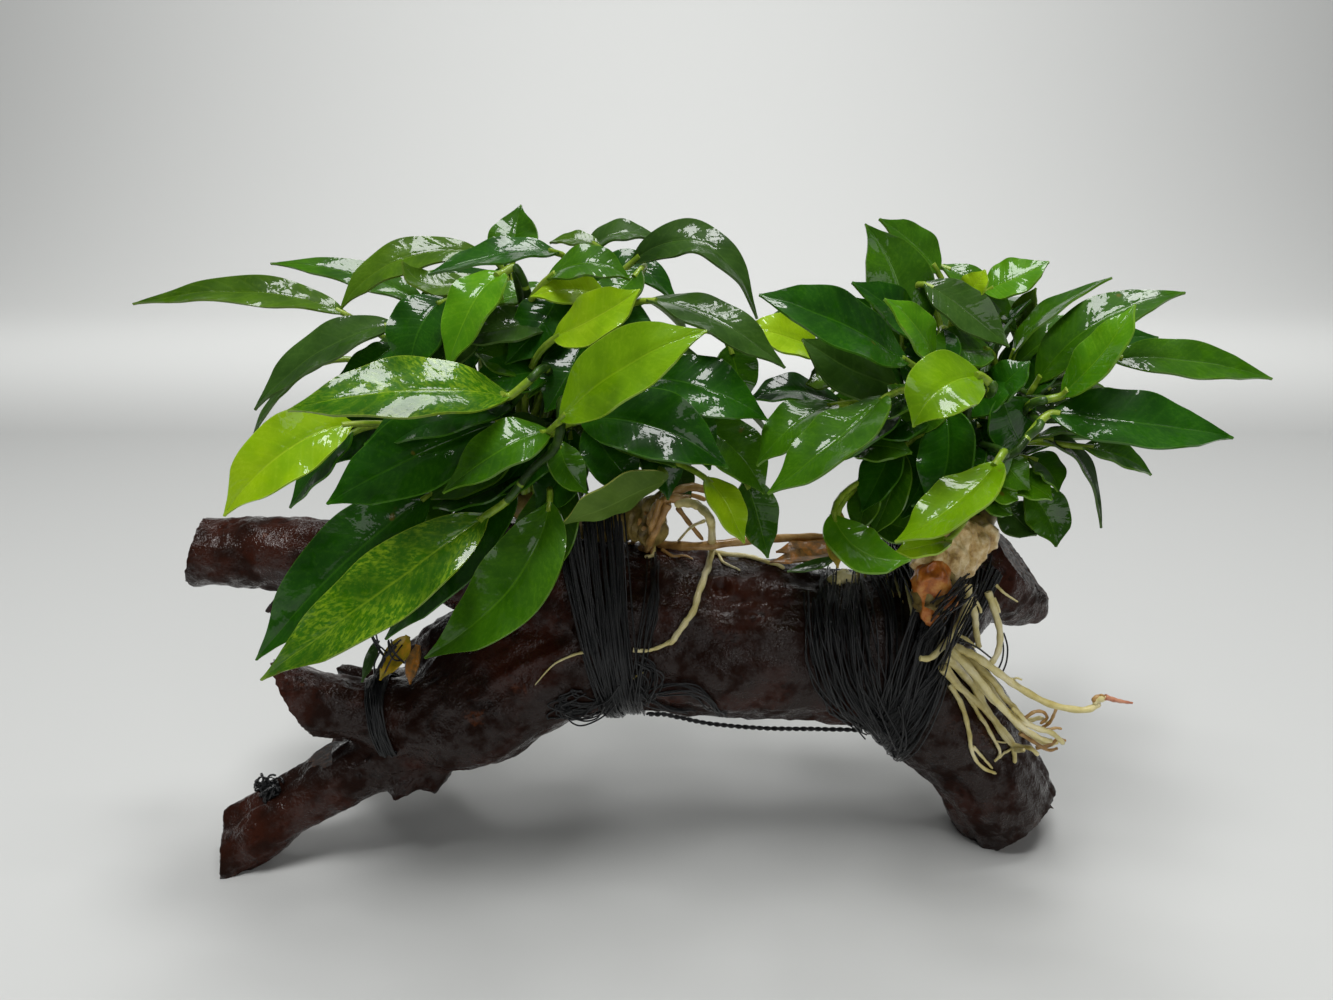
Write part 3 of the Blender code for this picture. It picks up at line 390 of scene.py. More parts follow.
# Driftwood: the same limbs as the solid, as (across, down, back, radius), radius in mm
wood = {
    "limbs": {
        "trunk": [(590, 618, 12, 18.5), (650, 622, 12, 18.8), (720, 634, 12, 19.2),
                  (800, 642, 12, 18), (870, 645, 12, 17.5), (920, 632, 12, 17)],
        "upperLeftBranch": [(192, 553, 14, 8.2), (300, 553, 14, 8), (420, 556, 13, 9),
                            (500, 572, 12, 12), (580, 600, 12, 16)],
        "lowerLeftLimb": [(600, 636, 12, 17), (535, 664, 8, 15.4), (470, 703, 5, 14.5),
                          (420, 717, 3, 11), (375, 713, 1, 7.5), (262, 690, -3, 6.4)],
        "leftLeg": [(425, 735, 4, 9.5), (350, 773, 0, 7.0), (300, 806, -2, 5.7), (246, 845, -4, 5.4),
                    (205, 870, -5, 5.4)],
        "leftLegLobe": [(345, 759, 3, 4.6), (270, 800, 2, 4.0), (200, 837, 1, 3.4)],
        "rearLeg": [(480, 700, 12, 11), (420, 700, 30, 8.5), (375, 720, 43, 7), (350, 748, 50, 6)],
        "rearSnag": [(420, 700, 30, 7), (375, 681, 35, 3.6), (338, 669, 38, 2.2)],
        "lowerTwig": [(432, 757, 2, 4.4), (404, 785, -3, 3.2), (390, 790, -5, 2.9)],
        "upperTwig": [(436, 764, 1, 4), (425, 790, -3, 2.7)],
        "rightLeg": [(890, 650, 12, 17), (935, 700, 9, 15), (982, 765, 8, 13), (1010, 820, 10, 12.5),
                     (1040, 872, 12, 12.5)],
        "rightStub": [(920, 600, 14, 17), (975, 580, 16, 12), (1012, 596, 18, 8), (1042, 607, 19, 3.4)],
        "branchKnob": [(252, 535, 12, 4), (252, 521, 12, 2.2)],
        "branchSnag": [(305, 585, 14, 3), (266, 612, 13, 1.4)],
        "crotch": [(530, 636, 14, 14), (465, 648, 15, 10), (415, 664, 16, 5.5)],
    },
    "voxel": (0.78 * mm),
    "gnarlSize": 16 * mm, "gnarlDepth": 1.5 * mm,
    "ridgeLength": 24, "ridgeWidth": 2.6, "ridgeDepth": 0.42 * mm,      # mm, folds along the grain
    "pitSize": 2.2 * mm, "pitDepth": 0.34 * mm,
    "breaks": [((197, 555, 14), (-1.0, -0.15, 0.3)), ((297, 700, -2), (-0.9, -0.25, -0.42)),
               ((222, 846, -6), (-0.95, -0.3, 0.1)), ((1026, 818, 5), (0.66, -0.35, -0.66)),
               ((1013, 565, 10), (0.74, -0.25, 0.62))],
    "breakReach": 32 * mm, "breakCuts": 44,
    "splinterSize": 1.6 * mm, "splinterDepth": 0.32 * mm,
    "ground": 0.00001,                           # m, where the feet are cut level
}
# A round knot with a raised lip: its place, and reach, radii, widths and heights in mm
knot = {
    "place": (722, 588), "reach": 6,
    "lipRadius": 2.5, "lipWidth": 0.8, "lipHeight": 0.75, "hollowWidth": 1.3, "hollowDepth": 0.9,
}


def limbFrames(points):                          # each point's way along its nearest limb, and its offsets
    starts, ends, bases = [], [], []
    for number, run in enumerate(wood["limbs"].values()):
        places = [np.array(sight(*point[:3])) for point in smoothRun(run, 4)]
        gone = number * 0.5                      # metres, so that two limbs don't share a pattern
        for a, b in zip(places, places[1:]):
            starts.append(a)
            ends.append(b)
            bases.append(gone)
            gone += np.linalg.norm(b - a)
    best = np.full(len(points), 1e9)
    grain = np.zeros((len(points), 3))
    for a, b, base in zip(starts, ends, bases):
        way = b - a
        length = np.linalg.norm(way)
        way = way / length
        t = np.clip((points - a) @ way, 0, length)
        off = points - a - t[:, None] * way
        gap = np.linalg.norm(off, axis=1)
        nearer = gap < best
        up = np.cross(way, (0, 1, 0))
        up = up / np.linalg.norm(up)
        across = np.cross(up, way)
        best[nearer] = gap[nearer]
        grain[nearer] = np.stack([base + t, off @ up, off @ across], axis=1)[nearer]
    return grain


def breakOff(thing, start, way):                 # cuts with a splintered face that looks along the way
    deselectAll()
    reach = wood["breakReach"]
    bpy.ops.mesh.primitive_cube_add(size=reach, location=start + way * reach / 2,
                                    rotation=way.to_track_quat("Z", "Y").to_euler())
    bpy.ops.object.transform_apply(location=True, rotation=True, scale=True)
    cutter = bpy.context.object
    bpy.ops.object.mode_set(mode="EDIT")
    bpy.ops.mesh.subdivide(number_cuts=wood["breakCuts"])
    bpy.ops.object.mode_set(mode="OBJECT")
    for vertex in cutter.data.vertices:
        spot = vertex.co / wood["splinterSize"]
        splinter = 1 - 2 * abs(noise.noise(spot)) + 0.5 * noise.noise(spot * 3.1)
        vertex.co += way * wood["splinterDepth"] * splinter
    cutter.data.materials.append(plain["brokenWood"])
    broken = thing.modifiers.new("break", "BOOLEAN")
    broken.operation = "DIFFERENCE"
    broken.object = cutter
    broken.material_mode = "TRANSFER"
    applyModifiers(thing)
    bpy.data.objects.remove(cutter)


def makeWood():
    runs = []
    for run in wood["limbs"].values():
        run = smoothRun(run, 4)
        runs.append(([sight(*point[:3]) for point in run], [point[3] for point in run]))
    thing = tubes("driftwood", runs, 4)
    skin = thing.modifiers.new("one skin", "REMESH")
    skin.mode = "VOXEL"
    skin.voxel_size = wood["voxel"]
    soften = thing.modifiers.new("soften", "SMOOTH")
    soften.factor = 0.5
    soften.iterations = 8
    applyModifiers(thing)

    mesh = thing.data
    points = np.empty(len(mesh.vertices) * 3)
    mesh.vertices.foreach_get("co", points)
    points = points.reshape(-1, 3)
    grain = limbFrames(points) / mm
    tree = treeOf([thing])
    line = (sight(*knot["place"], 0) - eye).normalized()
    knotPlace = tree.ray_cast(eye, line)[0]
    normals = [vertex.normal.copy() for vertex in mesh.vertices]
    for vertex, normal, (along, up, across) in zip(mesh.vertices, normals, grain):
        place = vertex.co / wood["gnarlSize"]
        lift = wood["gnarlDepth"] * (noise.noise(place) + 0.5 * noise.noise(place * 2.3))
        ridge = Vector((along / wood["ridgeLength"], up / wood["ridgeWidth"], across / wood["ridgeWidth"]))
        lift += wood["ridgeDepth"] * (1 - 2 * abs(noise.noise(ridge))) * 0.8
        lift += wood["ridgeDepth"] * 0.5 * noise.noise(ridge * 2.3)
        lift += wood["pitDepth"] * noise.noise(vertex.co / wood["pitSize"])
        far = (vertex.co - knotPlace).length / mm
        if far < knot["reach"]:
            lip = math.exp(-((far - knot["lipRadius"]) / knot["lipWidth"]) ** 2)
            hollow = math.exp(-(far / knot["hollowWidth"]) ** 2)
            lift += mm * (knot["lipHeight"] * lip - knot["hollowDepth"] * hollow)
        vertex.co += normal * lift
    attribute = mesh.attributes.new("grain", "FLOAT_VECTOR", "POINT")
    stretched = grain.copy()
    stretched[:, 0] *= woodLook["grainWidth"] / woodLook["grainLength"]
    attribute.data.foreach_set("vector", stretched.ravel())

    mesh.materials.clear()
    mesh.materials.append(bogwood)
    for place, facing in wood["breaks"]:
        breakOff(thing, sight(*place), Vector(facing).normalized())
    activate(thing)
    bpy.ops.object.mode_set(mode="EDIT")
    bpy.ops.mesh.select_all(action="SELECT")
    bpy.ops.mesh.bisect(plane_co=(0, 0, wood["ground"]), plane_no=(0, 0, -1), use_fill=True, clear_outer=True)
    bpy.ops.object.mode_set(mode="OBJECT")
    smoothShade(thing, 60)
    return thing


driftwood = makeWood()
woodTree = treeOf([driftwood])
print("driftwood made", len(driftwood.data.polygons), "faces")


def seenOn(across, down, lift):                  # where the eye's line meets the wood, lifted off it
    line = (sight(across, down, 0) - eye).normalized()
    place, normal, _, _ = woodTree.ray_cast(eye, line)
    if place is None:
        place, normal, _, _ = woodTree.find_nearest(sight(across, down, 12))
    return place + normal * lift


def spotOf(point, lift):                         # a point without a depth lies on the wood
    return seenOn(*point, lift) if len(point) == 2 else sight(*point)


def laid(place, room):                           # pushed out of the wood to the given distance
    near, normal, _, _ = woodTree.find_nearest(place)
    if (place - near).dot(normal) < room:
        return near + normal * room
    return place


# Leaves: the finish, the width in mm, the roll in degrees, and base, middle and tip as (across, down, back).
# A roll of 0 faces the eye, and 90 faces up. Some rows add a twist, a wave or the way that the stalk takes.
leftLeaves = [
    ("mottledLeaf", 14.5, 22, (487, 515, -20), (380, 592, -28), (261, 680, -26),
     {"stem": [(508, 500, -20), (520, 485, -21), (530, 472, -22), (540, 462, -23), (552, 452, -24),
               (558, 440, -24), (561, 424, -24), (562, 400, -16), (572, 430, -2), (585, 490, 6)]}),
    ("midLeaf", 14.5, 18, (550, 503, -16), (510, 588, -24), (425, 658, -22)),
    ("limeLeaf", 13, 28, (561, 420, -26), (625, 366, -32), (707, 331, -32)),
    ("midLeaf", 11, 40, (549, 432, -20), (500, 450, -25), (443, 493, -25)),
    ("mottledLeaf", 14, 42, (510, 396, -18), (400, 391, -28), (288, 411, -30),
     {"stem": [(530, 380, -18), (545, 368, -14), (553, 385, -8), (565, 440, 2), (580, 495, 6)]}),
    ("darkLeaf", 14, 28, (582, 420, -20), (655, 426, -28), (728, 468, -28)),
    ("darkLeaf", 16, 26, (505, 420, -12), (412, 458, -20), (327, 504, -22)),
    ("youngLeaf", 9.5, 28, (555, 338, -18), (598, 316, -24), (640, 290, -24)),
    ("paleLeaf", 10, 130, (667, 477, -12), (617, 500, -19), (562, 524, -19)),
    ("darkLeaf", 15.5, 12, (430, 495, -10), (345, 562, -17), (256, 660, -20)),
    ("darkLeaf", 13, 35, (650, 380, -13), (705, 388, -20), (767, 420, -19)),
    ("youngLeaf", 8, 38, (706, 478, -12), (728, 508, -16), (744, 543, -16)),
    ("youngLeaf", 13, 24, (352, 424, -12), (283, 452, -18), (224, 516, -20)),
    ("freshLeaf", 11, 42, (503, 273, -8), (472, 306, -14), (448, 372, -16),
     {"stem": [(515, 268, -7), (525, 285, -5), (530, 310, -3), (540, 370, 1), (560, 440, 5),
               (575, 500, 8)]}),
    ("darkLeaf", 13, 35, (445, 300, -5), (418, 330, -10), (412, 378, -11)),
    ("dullLeaf", 10.5, 50, (648, 300, -8), (715, 320, -14), (785, 368, -15), {"twist": 30}),
    ("midLeaf", 9, 48, (548, 278, -8), (590, 264, -11), (630, 280, -10)),
    ("darkLeaf", 10, 62, (558, 252, 2), (500, 254, -3), (428, 275, -6)),
    ("dullLeaf", 9.5, 50, (632, 262, 0), (705, 244, -5), (757, 319, -8), {"twist": -50}),
    ("dullLeaf", 11, 54, (395, 325, -3), (320, 350, -6), (255, 410, -8)),
    ("oliveLeaf", 9, 45, (480, 251, 12), (395, 262, 8), (341, 309, 6)),
    ("oliveLeaf", 8, 42, (345, 314, 8), (250, 292, 8), (133, 304, 10), {"wave": 0.12}),
    ("midLeaf", 11, 20, (513, 262, 16), (514, 238, 18), (521, 205, 22)),
    ("midLeaf", 12, 30, (690, 420, -4), (735, 450, -10), (764, 494, -12)),
]
rightLeaves = [
    ("limeLeaf", 11.5, 40, (998, 461, -22), (955, 504, -30), (895, 542, -30),
     {"stem": [(1004, 452, -19), (1002, 460, -12), (992, 480, -4), (982, 500, 5)]}),
    ("limeLeaf", 12.5, 15, (981, 376, -22), (942, 388, -29), (913, 427, -30),
     {"stem": [(990, 384, -21), (990, 394, -19), (980, 393, -17), (970, 400, -15), (967, 413, -13),
               (968, 430, -10), (974, 475, -3), (976, 520, 3)]}),
    ("freshLeaf", 8, 45, (932, 362, -18), (918, 330, -22), (884, 299, -22)),
    ("darkLeaf", 12, 28, (945, 410, -11), (947, 460, -17), (927, 513, -17)),
    ("midLeaf", 12.5, 42, (885, 397, -20), (833, 442, -30), (768, 494, -30)),
    ("freshLeaf", 10.5, 38, (832, 515, -16), (860, 550, -22), (911, 560, -22)),
    ("darkLeaf", 13, 40, (908, 362, -12), (838, 322, -21), (759, 295, -22)),
    ("darkLeaf", 13.5, 40, (1050, 414, -14), (1140, 422, -20), (1233, 438, -20),
     {"stem": [(1040, 422, -15), (1028, 437, -16), (1015, 452, -17), (1000, 459, -15), (990, 480, -7),
               (982, 500, 5)]}),
    ("freshLeaf", 9, 40, (1062, 396, -14), (1102, 352, -18), (1135, 305, -16),
     {"stem": [(1045, 400, -13), (1030, 405, -11), (1015, 428, -5), (992, 480, 5)]}),
    ("midLeaf", 11.5, 40, (1037, 384, -6), (1095, 324, -10), (1185, 293, -8),
     {"stem": [(1030, 396, -5), (1018, 428, 0), (990, 485, 6)]}),
    ("midLeaf", 11, 44, (835, 405, -14), (795, 424, -20), (757, 466, -20)),
    ("darkLeaf", 10, 58, (845, 404, -4), (795, 391, -9), (749, 400, -10)),
    ("midLeaf", 9.5, 40, (1112, 360, -4), (1190, 361, -6), (1272, 379, -6),
     {"stem": [(1070, 375, -6), (1050, 385, -6), (1030, 403, -4), (1006, 442, 1), (985, 492, 6)]}),
    ("dullLeaf", 13, 30, (900, 388, -6), (850, 368, -12), (802, 339, -12)),
    ("midLeaf", 13.5, 15, (900, 345, 0), (899, 285, 2), (865, 224, 6)),
    ("freshLeaf", 10, 42, (985, 292, 6), (1015, 278, 4), (1049, 262, 4)),
    ("midLeaf", 8, 66, (1012, 358, 0), (1045, 315, -3), (1112, 278, -4)),
]
leftSmallLeaves = [
    ("midLeaf", 7, 20, (558, 440, -17), (567, 468, -20), (588, 494, -20)),
    ("youngLeaf", 7.5, 35, (605, 298, -5), (572, 290, -8), (531, 297, -8)),
    ("darkLeaf", 10, 58, (352, 432, -6), (322, 464, -9), (290, 508, -10)),
    ("dullLeaf", 6, 75, (330, 360, 4), (283, 390, 2), (253, 438, 0)),
    ("oliveLeaf", 8, 55, (480, 278, 4), (432, 285, 0), (402, 261, 0)),
    ("darkLeaf", 10, 60, (530, 465, -8), (482, 492, -12), (433, 508, -12)),
    ("midLeaf", 9, 25, (730, 345, -2), (737, 372, -4), (747, 403, -6)),
    ("midLeaf", 9.5, 25, (745, 480, -8), (757, 515, -9), (768, 558, -9)),
    ("oliveLeaf", 6, 60, (600, 247, 14), (575, 240, 14), (550, 243, 16)),
    ("dullLeaf", 8, 60, (585, 252, 18), (620, 233, 18), (662, 242, 20)),
    ("midLeaf", 10, 45, (545, 375, -4), (510, 361, -8), (475, 353, -8)),
    ("darkLeaf", 8, 50, (400, 345, -2), (370, 362, -6), (333, 384, -8)),
    ("dullLeaf", 10, 48, (552, 322, -4), (505, 328, -9), (456, 344, -11)),
    ("darkLeaf", 11, 46, (548, 372, -8), (510, 376, -12), (466, 380, -13)),
    ("darkLeaf", 11, 30, (562, 285, -3), (540, 325, -8), (505, 365, -10)),
    ("darkLeaf", 11, 26, (585, 335, -7), (568, 375, -12), (545, 412, -14)),
    ("midLeaf", 12, 24, (575, 300, -2), (558, 345, -6), (528, 398, -8)),
    ("darkLeaf", 11, 24, (590, 425, -10), (612, 460, -14), (640, 492, -14)),
    ("darkLeaf", 11, 20, (572, 430, -8), (560, 475, -11), (535, 512, -12)),
    ("darkLeaf", 12, 30, (560, 420, -6), (530, 455, -10), (490, 500, -11)),
    ("midLeaf", 12, 36, (520, 425, -5), (480, 465, -9), (425, 500, -10)),
    ("darkLeaf", 11, 30, (600, 300, -5), (625, 330, -9), (640, 370, -11)),
    ("midLeaf", 10, 40, (640, 270, -2), (610, 300, -6), (575, 325, -8)),
    ("dullLeaf", 11, 35, (470, 300, -2), (455, 340, -6), (425, 378, -8)),
    ("darkLeaf", 11, 34, (660, 400, -8), (690, 430, -11), (710, 470, -12)),
    ("darkLeaf", 10, 28, (640, 430, -4), (660, 460, -7), (668, 500, -8)),
]
rightSmallLeaves = [
    ("youngLeaf", 9.5, 42, (822, 352, -4), (785, 336, -8), (740, 328, -8)),
    ("midLeaf", 9.5, 45, (938, 272, 8), (915, 246, 8), (879, 219, 8)),
    ("midLeaf", 9, 55, (942, 266, 11), (985, 294, 7), (1018, 334, 5)),
    ("oliveLeaf", 5.5, 30, (1017, 334, 9), (1024, 310, 7), (1036, 288, 7)),
    ("midLeaf", 7, 52, (1083, 447, -8), (1120, 455, -10), (1151, 475, -10)),
    ("dullLeaf", 6, 68, (1043, 439, -4), (1083, 462, -5), (1101, 528, -6)),
    ("midLeaf", 9, 38, (852, 448, -8), (880, 446, -12), (912, 453, -14)),
    ("midLeaf", 8, 35, (872, 470, -6), (866, 502, -10), (857, 536, -12)),
    ("midLeaf", 9, 58, (1028, 458, -2), (1048, 470, -4), (1058, 492, -6)),
    ("midLeaf", 10, 25, (1025, 490, 0), (1047, 515, -2), (1056, 547, -4)),
    ("dullLeaf", 9, 25, (1005, 503, 1), (1018, 520, -1), (1037, 535, -3)),
    ("darkLeaf", 11.5, 25, (1022, 445, -6), (1010, 420, -10), (1000, 392, -10)),
    ("dullLeaf", 10, 40, (925, 284, 0), (968, 312, -4), (1009, 347, -6)),
    ("youngLeaf", 6, 30, (960, 300, 2), (975, 285, 0), (985, 270, 0)),
    ("dullLeaf", 5, 70, (1030, 440, -6), (1062, 432, -9), (1092, 434, -10)),
    ("darkLeaf", 9, 30, (895, 440, -6), (880, 475, -10), (862, 512, -11)),
    ("midLeaf", 8, 24, (900, 450, -8), (890, 495, -12), (872, 536, -13)),
    ("midLeaf", 8, 30, (1000, 455, -5), (1012, 472, -8), (1030, 490, -9)),
    ("freshLeaf", 7, 30, (990, 475, -5), (1004, 490, -8), (1018, 500, -9)),
    ("freshLeaf", 8, 40, (1010, 480, -3), (1032, 486, -6), (1052, 500, -8)),
    ("midLeaf", 6, 35, (985, 495, -5), (997, 505, -8), (1012, 515, -9)),
    ("darkLeaf", 9, 40, (990, 400, -6), (1008, 380, -9), (1030, 362, -9)),
    ("darkLeaf", 10, 30, (1000, 370, -5), (985, 395, -8), (962, 420, -9)),
    ("midLeaf", 8, 40, (920, 385, -9), (893, 403, -12), (868, 412, -12)),
    ("darkLeaf", 9, 36, (925, 410, -6), (900, 425, -10), (872, 436, -11)),
    ("youngLeaf", 7, 40, (950, 540, -10), (922, 546, -14), (896, 552, -14)),
    ("darkLeaf", 12, 28, (940, 330, -2), (930, 365, -6), (905, 400, -8)),
    ("midLeaf", 11, 34, (990, 350, -2), (960, 350, -6), (925, 362, -7)),
    ("darkLeaf", 11, 20, (975, 420, -4), (985, 455, -8), (980, 495, -9)),
    ("darkLeaf", 12, 22, (940, 430, -2), (925, 475, -6), (900, 520, -8)),
    ("oliveLeaf", 7, 45, (845, 365, -5), (825, 378, -8), (806, 384, -8)),
    ("yellowedLeaf", 4.5, 20, (838, 508, -10), (836, 540, -13), (838, 568, -14)),
]
blade = {
    "thickness": 0.45 * mm,
    "baseWidth": 1.2, "tipWidth": 0.35,          # mm
    "lengthSteps": 52, "widthSteps": 14,
    "fold": 0.06, "foldWidth": 0.12,             # at the midrib, as shares of the half width
    "cup": 0.16, "ripple": 0.07,
    "bumps": 0.45, "bumpSize": 8,                # mm
}


def outline(t):                                  # how wide a lance-shaped leaf is along its length
    drawnOut = 1 - 0.32 * min(max((t - 0.78) / 0.14, 0), 1)
    return 3.2 * t ** 0.75 * (1 - t) ** 0.94 * drawnOut


def archedShape(base, middle, tip, facing, width, finish, twist, **more):
    return dict(base=base, turn=2 * middle - (base + tip) / 2, tip=tip, facing=facing, width=width,
                finish=finish, twist=math.radians(twist), **more)


def leafShape(row, bumps=blade["bumps"]):
    finish, width, roll, *places = row[:6]
    extra = row[6] if len(row) > 6 else {}
    base, middle, tip = [sight(*place) for place in places]
    toEye = (eye - middle).normalized()
    side = (tip - base).cross(toEye).normalized()
    if side.z < 0:
        side = -side
    facing = math.cos(math.radians(roll)) * toEye + math.sin(math.radians(roll)) * side
    return archedShape(base, middle, tip, facing, width, finish, extra.get("twist", 0), cup=blade["cup"],
                       wave=extra.get("wave", 0), phase=sum(places[2]) % 7, bumps=bumps,
                       stem=[sight(*point) for point in extra.get("stem", ())])


def heading(shape, t):
    return ((1 - t) * (shape["turn"] - shape["base"]) + t * (shape["tip"] - shape["turn"])).normalized()


def bladePoint(shape, t, side):
    rib = (1 - t) ** 2 * shape["base"] + 2 * t * (1 - t) * shape["turn"] + t * t * shape["tip"]
    way = heading(shape, t)
    up = (shape["facing"] - shape["facing"].dot(way) * way).normalized()
    up = Matrix.Rotation(shape["twist"] * (t - 0.5), 3, way) @ up
    across = way.cross(up)
    least = blade["baseWidth"] + (blade["tipWidth"] - blade["baseWidth"]) * t
    half = max(shape["width"] * outline(t), least) / 2 * mm
    out = abs(side)
    fold = math.exp(-(out / blade["foldWidth"]) ** 2)
    lift = shape["cup"] * half * out ** 1.4 - blade["fold"] * half * fold
    lift += shape["wave"] * half * side * side * math.sin(t * 13 + side)
    lift += blade["ripple"] * half * out ** 2 * math.sin(t * 17 + shape["phase"] + 1.7 * side)
    place = rib + across * (side * half)
    bumps = shape.get("bumps", blade["bumps"]) * min(1, half / (2 * mm))
    lift += bumps * mm * noise.noise(place / (blade["bumpSize"] * mm))
    return place + up * lift


def makeBlade(name, shape, fineness=1):
    deselectAll()
    bpy.ops.mesh.primitive_grid_add(x_subdivisions=round(blade["lengthSteps"] * fineness),
                                    y_subdivisions=round(blade["widthSteps"] * fineness), size=2)
    thing = bpy.context.object
    thing.name = thing.data.name = name
    for vertex in thing.data.vertices:
        t = min(max((vertex.co.x + 1) / 2, 0), 1)
        vertex.co = bladePoint(shape, t, -vertex.co.y)
    thing.data.materials.append(leafMaterials[shape["finish"]])
    thing.data.materials.append(leafMaterials["leafUnderside"])
    wall = thing.modifiers.new("thickness", "SOLIDIFY")
    wall.thickness = blade["thickness"]
    wall.offset = 0
    wall.material_offset = 1
    applyModifiers(thing)
    smoothShade(thing, 60)
    return thing


shapes = {}
for sideName, rows in (("left", leftLeaves), ("right", rightLeaves)):
    shapes[sideName] = [leafShape(row) for row in rows]
    for number, shape in enumerate(shapes[sideName], 1):
        piece = makeBlade(f"{sideName}_blade_{number:02d}", shape)
        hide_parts(f"{sideName}_leaf_{number:02d}")
        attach(piece, "root")
print("large leaves made")


# The heart of each plant, where its leaves come together, as (across, down, back)
hearts = {"left": (545, 430, 8), "right": (978, 430, 10)}
# Leaves on the far side, fanned round each plant's heart. Pairs are for the lower and the upper ones.
farLeaves = {
    "left": 5, "right": 4,                       # how many
    "start": 14, "spread": 146, "twist": 12,     # degrees
    "reach": 46, "width": 12, "baseOut": 14,     # mm
    "baseRise": (-4, 12), "archRise": (9, 12), "tipRise": (-7, -1),
    "archAt": 0.52, "outward": 0.35,
    "finishes": ("midLeaf", "darkLeaf", "oliveLeaf"),
}
# Shorter leaves between them, in four tiers. Pairs are the limits of a random draw.
betweenLeaves = {
    "count": 11, "seeds": {"left": 3, "right": 8},
    "start": 5, "spread": 170, "sway": 6, "twist": 20,       # degrees
    "tiers": ((-7, 0.62), (3, 0.72), (11, 0.6), (17, 0.42)),     # rise in mm, share of the far leaves' reach
    "baseOut": (5, 10), "archRise": (4, 8), "tipRise": (-8, 1), "width": (8, 11),        # mm
    "outward": (0.2, 0.7), "depth": 0.9, "cup": 0.2,
    "finishes": ("darkLeaf", "midLeaf", "oliveLeaf", "dullLeaf"),
}
# Leaves inside each plant: each large leaf again, smaller, nearer the heart and behind
innerLeaves = {
    "share": 0.76, "back": (4, 12), "turn": 16, "width": 0.9, "tilt": (-0.1, 0.4),
    "finishes": ("darkLeaf", "midLeaf", "darkLeaf", "dullLeaf"),
}


def upBy(rise):
    return Vector((0, 0, rise * mm))


def farShapes(sideName):
    far, heart = farLeaves, sight(*hearts[sideName])
    made = []
    for i in range(far[sideName]):
        bearing = math.radians(far["start"] + far["spread"] * (i + 0.5) / far[sideName])
        out = Vector((math.cos(bearing), math.sin(bearing), 0))
        base = heart + out * far["baseOut"] * mm + upBy(far["baseRise"][i % 2])
        middle = base + out * far["reach"] * far["archAt"] * mm + upBy(far["archRise"][i % 2])
        tip = base + out * far["reach"] * mm + upBy(far["tipRise"][i % 2])
        facing = Vector((0, 0, 1)) + out * far["outward"]
        made.append(archedShape(base, middle, tip, facing, far["width"] - i % 3, far["finishes"][i % 3],
                                far["twist"], cup=blade["cup"], wave=0, phase=i))
    return made


def betweenShapes(sideName):
    look, heart = betweenLeaves, sight(*hearts[sideName])
    rnd = random.Random(look["seeds"][sideName])
    made = []
    for i in range(look["count"]):
        spread = look["spread"] * (i + 0.5) / look["count"]
        bearing = math.radians(look["start"] + spread + rnd.uniform(-look["sway"], look["sway"]))
        rise, share = look["tiers"][i % 4]
        out = Vector((math.cos(bearing), math.sin(bearing) * look["depth"], 0))
        reach = farLeaves["reach"] * share * mm
        base = heart + out * rnd.uniform(*look["baseOut"]) * mm + upBy(rise)
        middle = base + out * reach * 0.5 + upBy(rnd.uniform(*look["archRise"]))
        tip = base + out * reach + upBy(rnd.uniform(*look["tipRise"]))
        facing = Vector((0, 0, 1)) + out * rnd.uniform(*look["outward"])
        width, twist = rnd.uniform(*look["width"]), rnd.uniform(-look["twist"], look["twist"])
        made.append(archedShape(base, middle, tip, facing, width, look["finishes"][i % 4], twist,
                                cup=look["cup"], wave=0, phase=i))
    return made


def innerShapes(sideName):
    rnd = random.Random(betweenLeaves["seeds"][sideName] + 1)
    heart = sight(*hearts[sideName])
    made = []
    for i, shape in enumerate(shapes[sideName]):
        back = Vector((0, rnd.uniform(*innerLeaves["back"]) * mm, 0))
        turn = Matrix.Rotation(math.radians(rnd.uniform(-1, 1) * innerLeaves["turn"]), 3, "Y")
        inner = dict(shape)
        for key in ("base", "turn", "tip"):
            inner[key] = heart + turn @ ((shape[key] - heart) * innerLeaves["share"]) + back
        inner["facing"] = turn @ shape["facing"] + Vector((0, 0, rnd.uniform(*innerLeaves["tilt"])))
        inner["width"] = shape["width"] * innerLeaves["width"]
        inner["finish"] = innerLeaves["finishes"][i % 4]
        made.append(inner)
    return made


# Rhizomes as (across, down, back, radius in mm), and their stalks
crown = {
    "left": [(478, 492, 8, 3.0), (530, 503, 8, 4.2), (590, 520, 8, 4.6), (640, 520, 5, 4.6),
             (655, 536, 0, 3.2)],
    "right": [(978, 462, 8, 2.4), (982, 500, 7, 3.4), (970, 532, 3, 4.4), (944, 556, -3, 4.6),
              (934, 590, -7, 4.6), (930, 614, -9, 3.2)],
    "stalkRadius": 0.95, "stalkEndRadius": 0.62, "seenEndRadius": 0.77, "taper": 0.7,
    "spread": 2.0,                               # mm, how far from the rhizome's middle a stalk starts
    "intoBlade": 2, "steps": 16,
    "rise": 0.4, "reach": 0.32,                  # shares of its length that it leaves and arrives straight
}


def bezier(ends, t):
    a, b, c, d = ends
    return (1 - t) ** 3 * a + 3 * t * (1 - t) ** 2 * b + 3 * t * t * (1 - t) * c + t ** 3 * d


